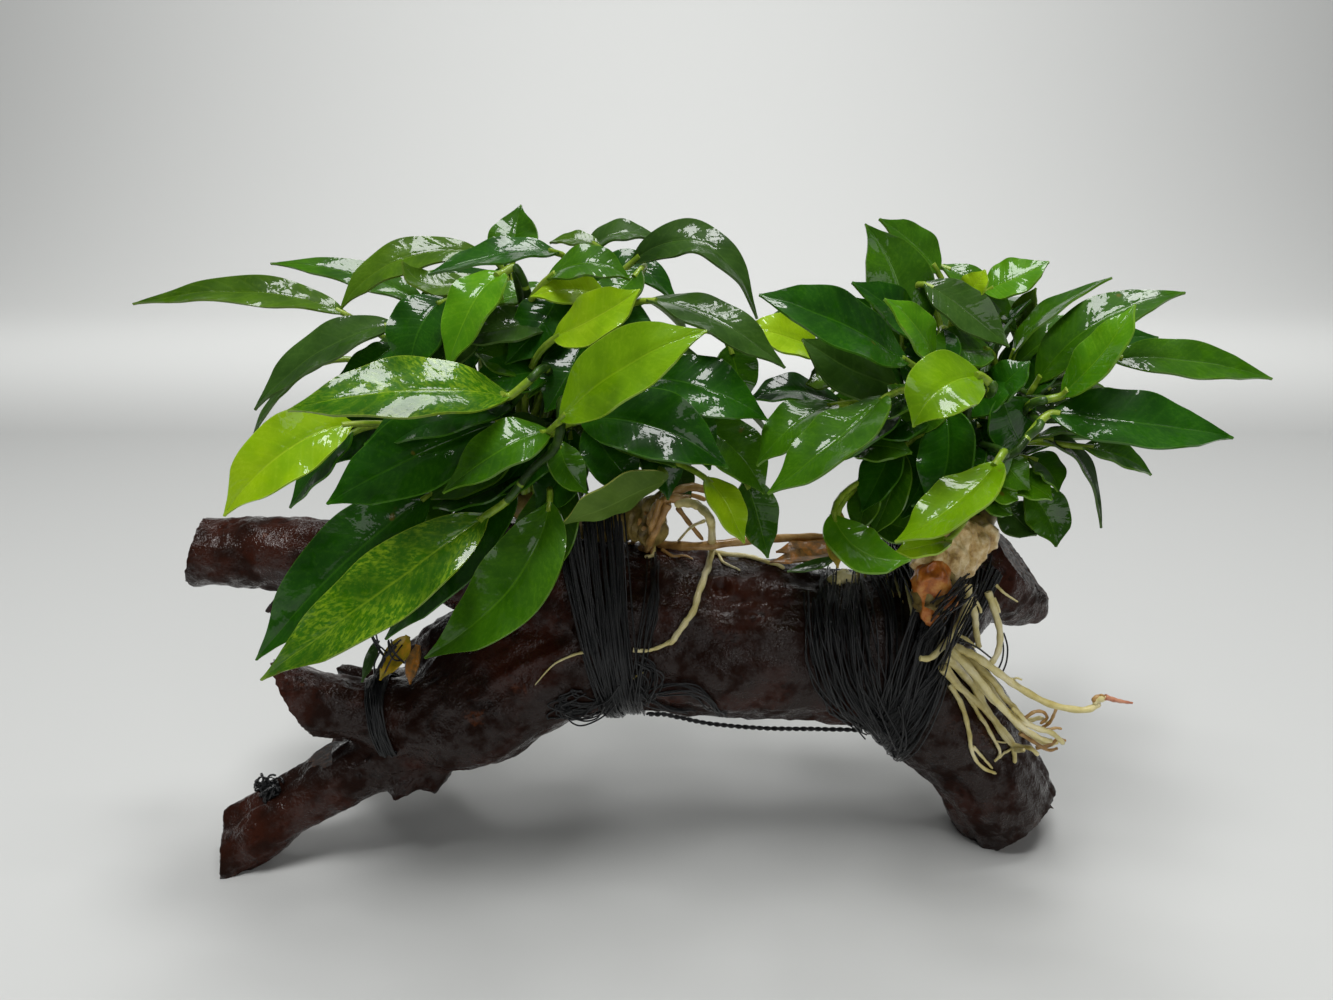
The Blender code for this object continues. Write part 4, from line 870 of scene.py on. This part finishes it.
def stalkRun(shape, axis, number):
    way = heading(shape, 0)
    end = shape["base"] + way * crown["intoBlade"] * mm
    if shape.get("stem"):
        known = [end, shape["base"]] + shape["stem"]
        places = [Vector(place) for place in smoothRun(known, 6)][::-1]
        return places, taper(len(places), crown["stalkRadius"], crown["seenEndRadius"], crown["taper"])
    start = min(axis, key=lambda place: (place - end).length)
    turn = math.atan2(end.y - start.y, end.x - start.x) + 0.5 * math.sin(2.4 * number)
    start = start + Vector((math.cos(turn), math.sin(turn), 0.5 * math.sin(number))) * crown["spread"] * mm
    length = (end - start).length
    ends = (start, start + Vector((0, 0, crown["rise"] * length)), end - way * crown["reach"] * length, end)
    places = [bezier(ends, i / crown["steps"]) for i in range(crown["steps"] + 1)]
    return places, taper(len(places), crown["stalkRadius"], crown["stalkEndRadius"], crown["taper"])


rhizomes = {}
for sideName in ("left", "right"):
    run = smoothRun(crown[sideName], 8)
    places = [sight(*point[:3]) for point in run]
    radii = [point[3] * (1 + 0.07 * math.sin(i * 1.9)) for i, point in enumerate(run)]
    rhizomes[sideName] = tubes(sideName + "Rhizome", [(places, radii)], 5, "rhizomeBark")


# Roots, as runs of (across, down, back) or of (across, down) on the wood, with the radius in mm at the
# start and the tip
roots = {
    "left": [
        ([(677, 503, -4), (690, 503, -6), (701, 508, -8), (711, 522, -10), (712, 548), (707, 572),
          (698, 594), (693, 612), (682, 628), (670, 643)], 1.0, 0.62),
        ([(671, 641), (655, 649), (637, 652)], 0.5, 0.25),
        ([(690, 500, -4), (672, 498, -4), (660, 504, -4), (652, 518, -3), (646, 535),
          (642, 552)], 1.0, 1.1),
        ([(655, 505, -2), (650, 520, -3), (652, 540), (654, 556), (644, 558)], 0.65, 0.4),
        ([(648, 545), (662, 547), (700, 546, 6), (745, 541, 8), (800, 537, 13), (828, 537, 14)], 1.1, 0.8),
        ([(712, 548), (725, 551), (748, 558), (771, 565), (784, 570)], 0.62, 0.4),
        ([(717, 553), (722, 562), (731, 567), (740, 571)], 0.42, 0.2),
        ([(662, 551), (672, 557), (684, 557), (693, 560)], 0.45, 0.2),
        ([(665, 492, 3), (690, 488, 5), (712, 491, 6)], 0.9, 0.7),
        ([(668, 496, 1), (690, 495, 3), (706, 500, 4)], 0.6, 0.5),
        ([(678, 508, 2), (690, 524, 4), (703, 540, 6)], 0.6, 0.45),
        ([(704, 521, -6), (690, 528, 2), (676, 540)], 0.4, 0.25),
        ([(640, 520, -2), (632, 524), (626, 532)], 0.4, 0.2),
        ([(664, 498, -3), (674, 492, -3), (690, 487, -2), (706, 489, -1)], 1.0, 0.8),
        ([(660, 500, -5), (656, 514, -6), (651, 530, -5), (655, 545), (652, 556)], 0.8, 0.45),
        ([(668, 504, -5), (660, 520, -5), (652, 538, -4), (646, 552)], 0.9, 0.8),
        ([(646, 512, -1), (634, 517), (627, 526)], 0.4, 0.2),
        ([(644, 528, -2), (633, 536), (628, 545)], 0.45, 0.2),
        ([(585, 652), (570, 656), (553, 665), (535, 685)], 0.35, 0.12),
        ([(633, 650), (645, 651), (655, 649)], 0.5, 0.3),
        ([(630, 680), (636, 675), (644, 671)], 0.4, 0.2),
    ],
    "right": [
        ([(949, 643, -9), (962, 650, -11), (977, 657, -12), (1000, 674, -13), (1020, 688, -13),
          (1050, 704, -14), (1082, 710, -15), (1097, 705, -15), (1096, 701, -15),
          (1108, 697, -16)], 0.9, 0.62),
        ([(942, 668, -9), (960, 688), (984, 710), (1000, 728), (1010, 742), (1013, 762)], 0.85, 0.5),
        ([(947, 658, -9), (965, 679), (979, 700), (995, 722), (1011, 743), (1030, 748, -10),
          (1038, 755, -10)], 0.85, 0.45),
        ([(952, 647, -9), (970, 669, -11), (988, 694, -12), (1009, 713, -12), (1034, 727, -12),
          (1052, 733, -12), (1064, 744, -11)], 0.95, 0.5),
        ([(959, 649, -8), (991, 679, -11), (1004, 697, -11), (1014, 707, -10), (1026, 720, -9),
          (1040, 718, -9), (1047, 722, -9)], 0.8, 0.4),
        ([(949, 684), (961, 707), (968, 730), (971, 748), (979, 763), (995, 773)], 0.62, 0.35),
        ([(973, 746), (982, 756), (992, 768)], 0.42, 0.25),
        ([(948, 655, -10), (968, 682), (984, 706), (1001, 733), (1012, 748), (1024, 750, -12)], 0.8, 0.5),
        ([(951, 650, -11), (975, 675, -13), (995, 700, -14), (1018, 724, -13), (1040, 738, -12),
          (1052, 741, -11)], 0.85, 0.5),
        ([(955, 648, -7), (980, 674, -9), (1000, 702, -8), (1020, 728, -7), (1044, 744, -7),
          (1058, 742, -6)], 0.75, 0.45),
        ([(945, 664, -8), (962, 690), (976, 712), (990, 735), (998, 752), (993, 760)], 0.6, 0.3),
        ([(1012, 745), (1004, 752), (998, 758)], 0.35, 0.2),
        ([(1010, 738), (1004, 742), (995, 741)], 0.3, 0.18),
        ([(1024, 719, -10), (1034, 712, -10), (1043, 712, -10), (1047, 718, -10),
          (1040, 724, -10)], 0.42, 0.3),
        ([(1042, 728, -10), (1050, 722, -11), (1055, 712, -12), (1057, 706, -12)], 0.4, 0.28),
        ([(1046, 730, -9), (1056, 728, -9), (1062, 729, -9)], 0.38, 0.25),
        ([(1036, 748, -9), (1050, 745, -9), (1058, 739, -9), (1066, 741, -9)], 0.45, 0.3),
        ([(1020, 733, -11), (1034, 742, -11), (1048, 750, -10), (1058, 748, -10)], 0.5, 0.3),
        ([(1028, 724, -12), (1020, 715, -13), (1012, 708, -13)], 0.5, 0.4),
        ([(1006, 678, -13), (1013, 679, -13), (1017, 678, -14), (1022, 680, -14)], 0.32, 0.2),
        ([(1097, 705, -15), (1094, 699, -15), (1100, 696, -15), (1106, 697, -16)], 0.5, 0.4),
        ([(968, 585, -5), (968, 601, -7), (959, 624, -9), (942, 647, -10), (930, 658, -11),
          (919, 658, -11)], 0.85, 0.6),
        ([(972, 600, -7), (975, 616, -7), (976, 630, -6), (979, 648, -5)], 0.75, 0.65),
        ([(968, 592, -6), (974, 598, -7), (980, 608, -7), (981, 613, -7)], 0.4, 0.25),
        ([(988, 592, -3), (995, 612, -4), (1000, 633, -5), (998, 652, -7), (990, 665, -9)], 0.8, 0.6),
        ([(996, 585, -2), (1003, 592, -3), (1010, 597, -3), (1018, 602, -3)], 0.35, 0.18),
        ([(994, 598, -3), (998, 606, -4), (1000, 613, -4)], 0.35, 0.2),
        ([(958, 635, -9), (968, 640, -11), (976, 648, -12)], 0.4, 0.3),
        ([(886, 568), (888, 582), (893, 600)], 0.45, 0.35),
        ([(902, 568), (907, 590), (912, 612), (910, 622)], 0.5, 0.35),
        ([(908, 570), (912, 592), (916, 606)], 0.4, 0.3),
        ([(893, 570), (898, 590), (903, 604)], 0.35, 0.25),
    ],
    # which of the routes are older, tan roots
    "tan": {"left": [2, 4, 7, 8, 9, 10, 12, 13, 14, 15, 16, 17], "right": [13, 14, 15, 16, 17, 20]},
    "redTip": ([(1105, 697, -16), (1115, 700, -16), (1125, 702, -16), (1133, 703, -16)], 0.62, 0.2),
    "room": 0.7, "uneven": 0.1, "tipShare": 0.4,         # shares of the radius
}


def rootRun(route, thick, thin):
    room = thick * roots["room"] * mm
    places = [laid(Vector(place), room) for place in smoothRun([spotOf(point, room) for point in route], 7)]
    radii = [radius * (1 + roots["uneven"] * math.sin(i * 1.3))
             for i, radius in enumerate(taper(len(places), thick, thin))]
    radii[-1] *= roots["tipShare"]
    return places, radii


for sideName in ("left", "right"):
    tan = roots["tan"][sideName]
    kinds = [("creamRoot", [route for i, route in enumerate(roots[sideName]) if i not in tan]),
             ("tanRoot", [roots[sideName][i] for i in tan])]
    bundles = [tubes("bundle", [rootRun(*route) for route in routes], 3, material)
               for material, routes in kinds]
    piece = joined(bundles, sideName + "_living_roots")
    if sideName == "right":
        redTip = tubes("redTip", [rootRun(*roots["redTip"])], 3, "rootTip")
        piece = joined([piece, redTip], "right_living_roots")
    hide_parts(sideName + "_roots")
    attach(piece, "root")
print("roots made")


# Thread windings: the middle as (across, down, back), the way along the wood, and offsets along it in mm
# at the top and the bottom of the band
windings = {
    "left": [dict(middle=(613, 620, 12), along=(1.0, 0.0, 0.12), top=(-9.5, 7.5), bottom=(-3, 5), turns=74,
                  reach=31)],
    "right": [dict(middle=(905, 646, 12), along=(1.0, 0.0, -0.28), top=(-10, 9), bottom=(-8, 6), turns=60,
                   reach=26),
              dict(middle=(890, 646, 12), along=(1.0, 0.0, -0.2), top=(-10, 4), bottom=(-4, 3), turns=30,
                   reach=26),
              dict(middle=(925, 640, 10), along=(0.8, 0.0, -0.6), top=(-3.5, 1), bottom=(-4, 2.5), turns=24,
                   reach=24)],
    "stub": [dict(middle=(386, 711, 0), along=(1.0, 0.0, 0.2), top=(-2.6, 2.4), bottom=(-2.4, 2.6), turns=40,
                  reach=9.6)],
    "strandRadius": 0.19, "deep": 1.3,           # mm
    "steps": 64,
}
# Strands that stray from the windings: routes of (across, down, back) or of (across, down) on the wood, and
# how many run side by side
strays = {
    "left": [
        ([(640, 690), (652, 700), (668, 708), (690, 712)], 6),
        ([(612, 690), (600, 704), (580, 710), (562, 704), (575, 697)], 22),
        ([(640, 660), (655, 668), (652, 684), (640, 700)], 8),
        ([(562, 528, -2), (572, 560), (582, 600), (596, 650)], 9),
        ([(652, 560), (650, 600), (642, 650), (634, 696)], 9),
        ([(655, 690), (680, 686), (705, 694), (725, 712)], 7),
    ],
    "right": [
        ([(891, 492, 0), (894, 520, -2), (897, 548), (899, 573), (899, 600), (899, 629)], 6),
        ([(905, 540, -2), (909, 558), (912, 590), (915, 620), (916, 642)], 6),
        ([(966, 582, -10), (952, 600, -12), (938, 618, -13), (917, 642)], 14),
        ([(970, 598, -9), (955, 628, -13), (944, 652, -12), (933, 675)], 8),
        ([(955, 590, -12), (935, 606, -13), (915, 622)], 5),
        ([(952, 640, -12), (965, 642, -14), (978, 648, -15), (991, 658, -14)], 1),
        ([(1002, 632, -2), (1006, 646, -3), (1005, 660, -5), (1000, 672, -7)], 2),
        ([(835, 560), (832, 620), (846, 680), (880, 725)], 24),
        ([(860, 560), (858, 620), (868, 680), (892, 730)], 24),
        ([(812, 600), (815, 650), (835, 700), (870, 728)], 16),
        ([(905, 700), (912, 725), (908, 745), (898, 742)], 12),
    ],
    "stub": [
        ([(376, 636, -2), (382, 645, -3), (388, 654, -3), (381, 668, -4), (378, 684)], 5),
        ([(387, 640, -4), (391, 652, -5), (396, 660, -5), (401, 664, -4)], 3),
        ([(401, 641, -3), (394, 648, -4), (386, 656, -4), (380, 670, -4), (380, 684)], 4),
    ],
    "apart": 0.55, "drift": 0.4, "room": (0.2, 0.5),         # mm
}


def anyWay(rnd):
    return Vector([rnd.uniform(-1, 1) for _ in range(3)])


def outermost(tree, middle, way, reach):         # the last wall that a line from the middle meets
    gone, found = 0.0, 0.0
    while True:
        place, _, _, step = tree.ray_cast(middle + way * gone, way, reach - gone)
        if place is None:
            return found
        gone += step + 0.05 * mm
        found = gone


def pulledTaut(points):                          # the convex outline of points round the middle, as radii
    order = sorted(set((round(x, 7), round(y, 7)) for x, y in points))

    def chain(ordered):
        line = []
        for p in ordered:
            while len(line) > 1 and ((line[-1][0] - line[-2][0]) * (p[1] - line[-2][1])
                                     - (line[-1][1] - line[-2][1]) * (p[0] - line[-2][0])) <= 0:
                line.pop()
            line.append(p)
        return line[:-1]
    hull = chain(order) + chain(order[::-1])
    out = []
    for x, y in points:
        bearing = math.hypot(x, y)
        dx, dy = x / bearing, y / bearing
        best = bearing
        for (ax, ay), (bx, by) in zip(hull, hull[1:] + hull[:1]):
            ex, ey = bx - ax, by - ay
            cross = dx * ey - dy * ex
            if abs(cross) < 1e-12:
                continue
            r = (ax * ey - ay * ex) / cross
            s = (ax * dy - ay * dx) / cross
            if r > 0 and -1e-6 <= s <= 1 + 1e-6:
                best = max(best, r)
        out.append(best)
    return out


def windThread(name, wind, held, seed):
    rnd = random.Random(seed)
    tree = treeOf([driftwood] + held)
    middle, along = sight(*wind["middle"]), Vector(wind["along"]).normalized()
    up = (Vector((0, 0, 1)) - along * along.z).normalized()
    front = along.cross(up)
    steps = windings["steps"]
    places = []
    topOffset, bottomOffset = rnd.uniform(*wind["top"]), rnd.uniform(*wind["bottom"])
    for turn in range(wind["turns"]):
        nextTop, nextBottom = rnd.uniform(*wind["top"]), rnd.uniform(*wind["bottom"])
        layer = windings["deep"] * (turn / wind["turns"]) * rnd.uniform(0.6, 1)
        offsets, flat = [], []
        for step in range(steps):
            t = step / steps
            if t < 0.5:
                offset = topOffset + (bottomOffset - topOffset) * (t * 2)
            else:
                offset = bottomOffset + (nextTop - bottomOffset) * (t * 2 - 1)
            bearing = t * math.tau
            way = up * math.cos(bearing) + front * math.sin(bearing)
            radius = max(outermost(tree, middle + along * offset * mm, way, wind["reach"] * mm), 2 * mm)
            offsets.append((offset, way))
            flat.append((radius * math.cos(bearing), radius * math.sin(bearing)))
        for (offset, way), radius in zip(offsets, pulledTaut(flat)):
            height = radius + (windings["strandRadius"] + layer) * mm
            places.append(middle + along * offset * mm + way * height)
        topOffset, bottomOffset = nextTop, nextBottom
    return tubes(name, [(places, [windings["strandRadius"]] * len(places))], 1, "blackCotton")


def strayThreads(name, routes, seed):
    rnd = random.Random(seed)
    runs = []
    for route, count in routes:
        run = [Vector(place) for place in smoothRun([spotOf(point, 0.4 * mm) for point in route], 7)]
        for strand in range(count):
            aside = anyWay(rnd) * strays["apart"] * mm * (count - 1) ** 0.5
            drift = anyWay(rnd) * strays["drift"] * mm * (count - 1) ** 0.5
            places = []
            for i, place in enumerate(run):
                sway = drift * math.sin(i / len(run) * 5 + strand)
                places.append(laid(place + aside + sway, rnd.uniform(*strays["room"]) * mm))
            runs.append((places, [windings["strandRadius"]] * len(places)))
    return tubes(name, runs, 1, "blackCotton")


wraps = (("left", "left_wrap"), ("right", "right_wrap"), ("stub", "stub_wrap"))
for seed, (sideName, wrap) in enumerate(wraps, 5):
    held = [rhizomes[sideName]] if sideName in rhizomes else []
    threads = [windThread(sideName + "Winding", wind, held, seed + 9 * layer)
               for layer, wind in enumerate(windings[sideName])]
    threads.append(strayThreads(sideName + "Strays", strays[sideName], seed))
    piece = joined(threads, sideName + "_winding")
    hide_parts(wrap)
    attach(piece, "root")
print("thread wound")


# Old sheaths round the rhizomes, as lumps of (across, down, back, width, height), the last two in mm
sheaths = {
    "left": [
        ("rhizomeBark", [(652, 506, 0, 2.2, 2.8), (657, 516, 0, 2.0, 2.6), (663, 500, 0, 2.2, 2.2),
                         (646, 524, 0, 1.7, 2.8)]),
    ],
    "right": [
        ("tanSheath", [(938, 540, -5, 4.6, 5), (955, 535, -3, 4.6, 4.6), (972, 545, -3, 3.8, 4.6),
                       (985, 538, 0, 3, 3.6), (930, 560, -7, 4, 4.6), (947, 560, -6, 4.2, 5),
                       (962, 562, -4, 3.4, 4)]),
        ("rustSheath", [(932, 580, -9, 4.2, 5), (940, 597, -9, 3.6, 4.4), (930, 611, -10, 2.6, 3.4)]),
    ],
    "voxel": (0.42 * mm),
    "foldSize": 2.6, "foldDepth": 0.75, "foldStretch": 0.55, "sharpEdge": 70,        # mm and degrees
}


def crumpled(name, lumps, material):             # lumps joined in one skin that is folded like wet paper
    balls = []
    for across, down, back, wide, tall in lumps:
        deselectAll()
        bpy.ops.mesh.primitive_ico_sphere_add(subdivisions=3, radius=mm)
        ball = bpy.context.object
        middle = seenOn(across, down, 0) if back is None else sight(across, down, back)
        for vertex in ball.data.vertices:
            vertex.co = middle + Vector((vertex.co.x * wide, vertex.co.y * wide * 0.8, vertex.co.z * tall))
        balls.append(ball)
    piece = joined(balls, name)
    skin = piece.modifiers.new("one skin", "REMESH")
    skin.mode = "VOXEL"
    skin.voxel_size = sheaths["voxel"]
    soften = piece.modifiers.new("soften", "SMOOTH")
    soften.iterations = 6
    applyModifiers(piece)
    for vertex, normal in zip(piece.data.vertices, [v.normal.copy() for v in piece.data.vertices]):
        place = vertex.co / (sheaths["foldSize"] * mm)
        place.z *= sheaths["foldStretch"]        # folds run down the sheath
        fold = 1 - 2.4 * abs(noise.noise(place)) + 0.35 * noise.noise(place * 2.7)
        vertex.co += normal * (sheaths["foldDepth"] * mm * (fold - 0.6))
    piece.data.materials.clear()
    piece.data.materials.append(plain[material])
    smoothShade(piece, sheaths["sharpEdge"])
    return piece


def stalksOf(name, leaves, axis, first, material):
    runs = [stalkRun(shape, axis, first + number) for number, shape in enumerate(leaves)]
    return tubes(name, runs, 2, material)


def makePlant(sideName, smallLeaves):
    seen = shapes[sideName] + [leafShape(row) for row in smallLeaves]
    hidden = farShapes(sideName) + innerShapes(sideName) + betweenShapes(sideName)
    axis = [sight(*point[:3]) for point in smoothRun(crown[sideName], 6)[2:8]]
    pieces = [stalksOf("seenStalks", seen, axis, 0, "leafStalk"),
              stalksOf("hiddenStalks", hidden, axis, len(seen), "shadedStalk"), rhizomes[sideName]]
    pieces += [makeBlade("small", shape, 0.7) for shape in seen[len(shapes[sideName]):] + hidden]
    pieces += [crumpled("sheath", lumps, material) for material, lumps in sheaths[sideName]]
    piece = joined(pieces, sideName + "_plant")
    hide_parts(sideName + "_crown")
    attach(piece, "root")


makePlant("left", leftSmallLeaves)
makePlant("right", rightSmallLeaves)
print("stalks and small leaves made")


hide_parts("trunk", "upper_left_branch", "lower_left_limb", "left_leg", "rear_leg", "right_leg",
            "right_stub")
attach(driftwood, "root")


# The taut line of two twisted strands, and the knot as a tangle of loops
tie = {
    "line": [(648, 708, 2), (700, 722, 6), (760, 728, 7), (815, 729, 7), (862, 730, 6)],
    "strandRadius": 0.3, "twistEvery": 3.4, "room": 0.75, "apart": 0.28,     # mm
    "knot": (272, 790), "loops": 26, "loopSize": 3.0, "loopRadius": 0.24,
    "knotRise": 1.3, "knotSpread": 1.1, "loopRoom": 0.25, "loopSteps": 20,
}
known = [sight(*point) for point in tie["line"]]
run = [laid(Vector(place), tie["room"] * mm) for place in smoothRun(known, 30)]
strands = []
for start in (0, math.pi):
    gone, places = 0, []
    for i, place in enumerate(run):
        way = (run[min(i + 1, len(run) - 1)] - run[max(i - 1, 0)]).normalized()
        gone += (place - run[max(i - 1, 0)]).length / mm
        bearing = start + gone / tie["twistEvery"] * math.tau
        lift = way.cross(Vector((0, 1, 0))).normalized()
        aside = lift * math.cos(bearing) + way.cross(lift) * math.sin(bearing)
        places.append(place + aside * tie["apart"] * mm)
    strands.append((places, [tie["strandRadius"]] * len(places)))
tautLine = tubes("taut_line", strands, 1, "blackCotton")

rnd = random.Random(4)
loops = []
for loop in range(tie["loops"]):
    spin = Matrix.Rotation(rnd.uniform(0, math.tau), 3, anyWay(rnd))
    size = rnd.uniform(0.4, 1) * tie["loopSize"] * mm
    middle = seenOn(*tie["knot"], tie["knotRise"] * mm) + anyWay(rnd) * tie["knotSpread"] * mm
    places = []
    for i in range(tie["loopSteps"] + 1):
        b = math.tau * rnd.uniform(0.6, 0.95) * i / tie["loopSteps"]
        place = middle + spin @ (Vector((math.cos(b), 0.6 * math.sin(b), 0.3 * math.sin(2 * b))) * size)
        places.append(laid(place, tie["loopRoom"] * mm))
    loops.append((places, [tie["loopRadius"]] * len(places)))
knotTangle = tubes("knot_tangle", loops, 1, "blackCotton")

# Dead strips of leaf on the trunk, the yellowed leaf under the stub's wrap, and a pale root stub
deadLeaves = {
    "dead_strips": [
        ("rottedLeaf", 4, 40, (838, 552, 8), (805, 556, 4), (770, 562, 2)),
        ("rottedLeaf", 6, 60, (838, 552, 8), (808, 543, 12), (772, 538, 15)),
        ("rottedLeaf", 5, 50, (838, 552, 8), (805, 550, 8), (776, 552, 9)),
        ("dullLeaf", 2.6, 30, (836, 557, 3), (812, 566, 1), (787, 571, 0)),
    ],
    "yellowed_leaf": [
        ("yellowedLeaf", 5, 15, (408, 636, 0), (395, 656, -3), (380, 680, -5)),
        ("dullLeaf", 2.4, 20, (377, 640, 0), (370, 660, -2), (362, 682, -3)),
        ("rottedLeaf", 3, 20, (418, 645, 2), (413, 665, 0), (410, 684, -1)),
    ],
}
remains = {}
for name, rows in deadLeaves.items():
    remains[name] = joined([makeBlade(name, leafShape(row, bumps=1.4), 0.8) for row in rows], name)
knobLumps = [(834, 582, None, 2.0, 1.6), (845, 579, None, 2.9, 2.2), (857, 576, None, 2.2, 1.8)]
stubKnob = crumpled("root_knob", knobLumps, "creamRoot")
for piece, cadNode, slot in (
        (tautLine, "thread_line", "thread"), (knotTangle, "thread_knot", "thread"),
        (remains["dead_strips"], "dead_leaf", "dead_leaf"),
        (remains["yellowed_leaf"], "old_leaf", "dead_leaf"), (stubKnob, "root_stub", "root")):
    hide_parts(cadNode)
    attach(piece, "root")
print("remains and ties made")


# Stage, light and camera
stage = {
    "floor": "#c9cac8", "size": 4.0, "wall": 1.8, "bend": 1.0, "bendSteps": 16,      # m
    "air": "#eef1f3", "airLight": 0.09,
}
deselectAll()
bpy.ops.mesh.primitive_plane_add(size=stage["size"], location=(0, 0, 0))
floor = bpy.context.object
floor.name = "floor"


def editEdge(isEdge):                            # starts editing with one edge of the floor selected
    bpy.ops.object.mode_set(mode="EDIT")
    bpy.ops.mesh.select_mode(type="EDGE")
    bpy.ops.mesh.select_all(action="DESELECT")
    bpy.ops.object.mode_set(mode="OBJECT")
    for edge in floor.data.edges:
        edge.select = all(isEdge(floor.data.vertices[i].co) for i in edge.vertices)
    bpy.ops.object.mode_set(mode="EDIT")


editEdge(lambda place: place.y > 0)
bpy.ops.mesh.extrude_region_move(TRANSFORM_OT_translate={"value": (0, 0, stage["wall"])})
editEdge(lambda place: place.y > 1 and place.z < 0.1)
bpy.ops.mesh.bevel(offset=stage["bend"], segments=stage["bendSteps"], affect="EDGES")
bpy.ops.object.mode_set(mode="OBJECT")
smoothShade(floor, 40)
paper, _, _ = newMaterial("palePaper", {"Base Color": colour(stage["floor"]), "Roughness": 0.8})
floor.data.materials.append(paper)

lights = {
    "key": dict(place=(-0.16, -0.34, 1.05), size=0.36, power=7, aim=(0, 0, 0.07)),
    "side": dict(place=(0.3, 0.0, 1.1), size=0.22, power=2.5, aim=(0, 0, 0.07)),
    "top": dict(place=(0.08, 0.3, 1.1), size=0.35, power=4, aim=(0, 0, 0.05)),
    "fill": dict(place=(0.5, -1.3, 0.7), size=0.9, power=4, aim=(0, 0, 0.07)),
    "backdrop": dict(place=(0, 0.7, 1.3), size=2.0, power=30, aim=(0, 2.0, 1.0)),
}
for name, light in lights.items():
    data = bpy.data.lights.new(name, "AREA")
    data.size = light["size"]
    data.energy = light["power"]
    lamp = bpy.data.objects.new(name, data)
    bpy.context.scene.collection.objects.link(lamp)
    lamp.location = light["place"]
    lamp.rotation_euler = (Vector(light["aim"]) - Vector(light["place"])).to_track_quat("-Z", "Y").to_euler()
world = bpy.data.worlds.new("studio")
bpy.context.scene.world = world
world.use_nodes = True
world.node_tree.nodes["Background"].inputs["Color"].default_value = colour(stage["air"])
world.node_tree.nodes["Background"].inputs["Strength"].default_value = stage["airLight"]
bpy.context.scene.view_settings.view_transform = "Standard"

cameraData = bpy.data.cameras.new("camera")
cameraData.sensor_width = 36
cameraData.lens = 36 * picture["lensPixels"] / picture["width"]
cameraData.clip_start = 0.005
camera = bpy.data.objects.new("camera", cameraData)
bpy.context.scene.collection.objects.link(camera)
camera.location = eye
camera.rotation_euler = (math.radians(90) - picture["pitch"], 0, 0)
bpy.context.scene.camera = camera

print("scene ready")
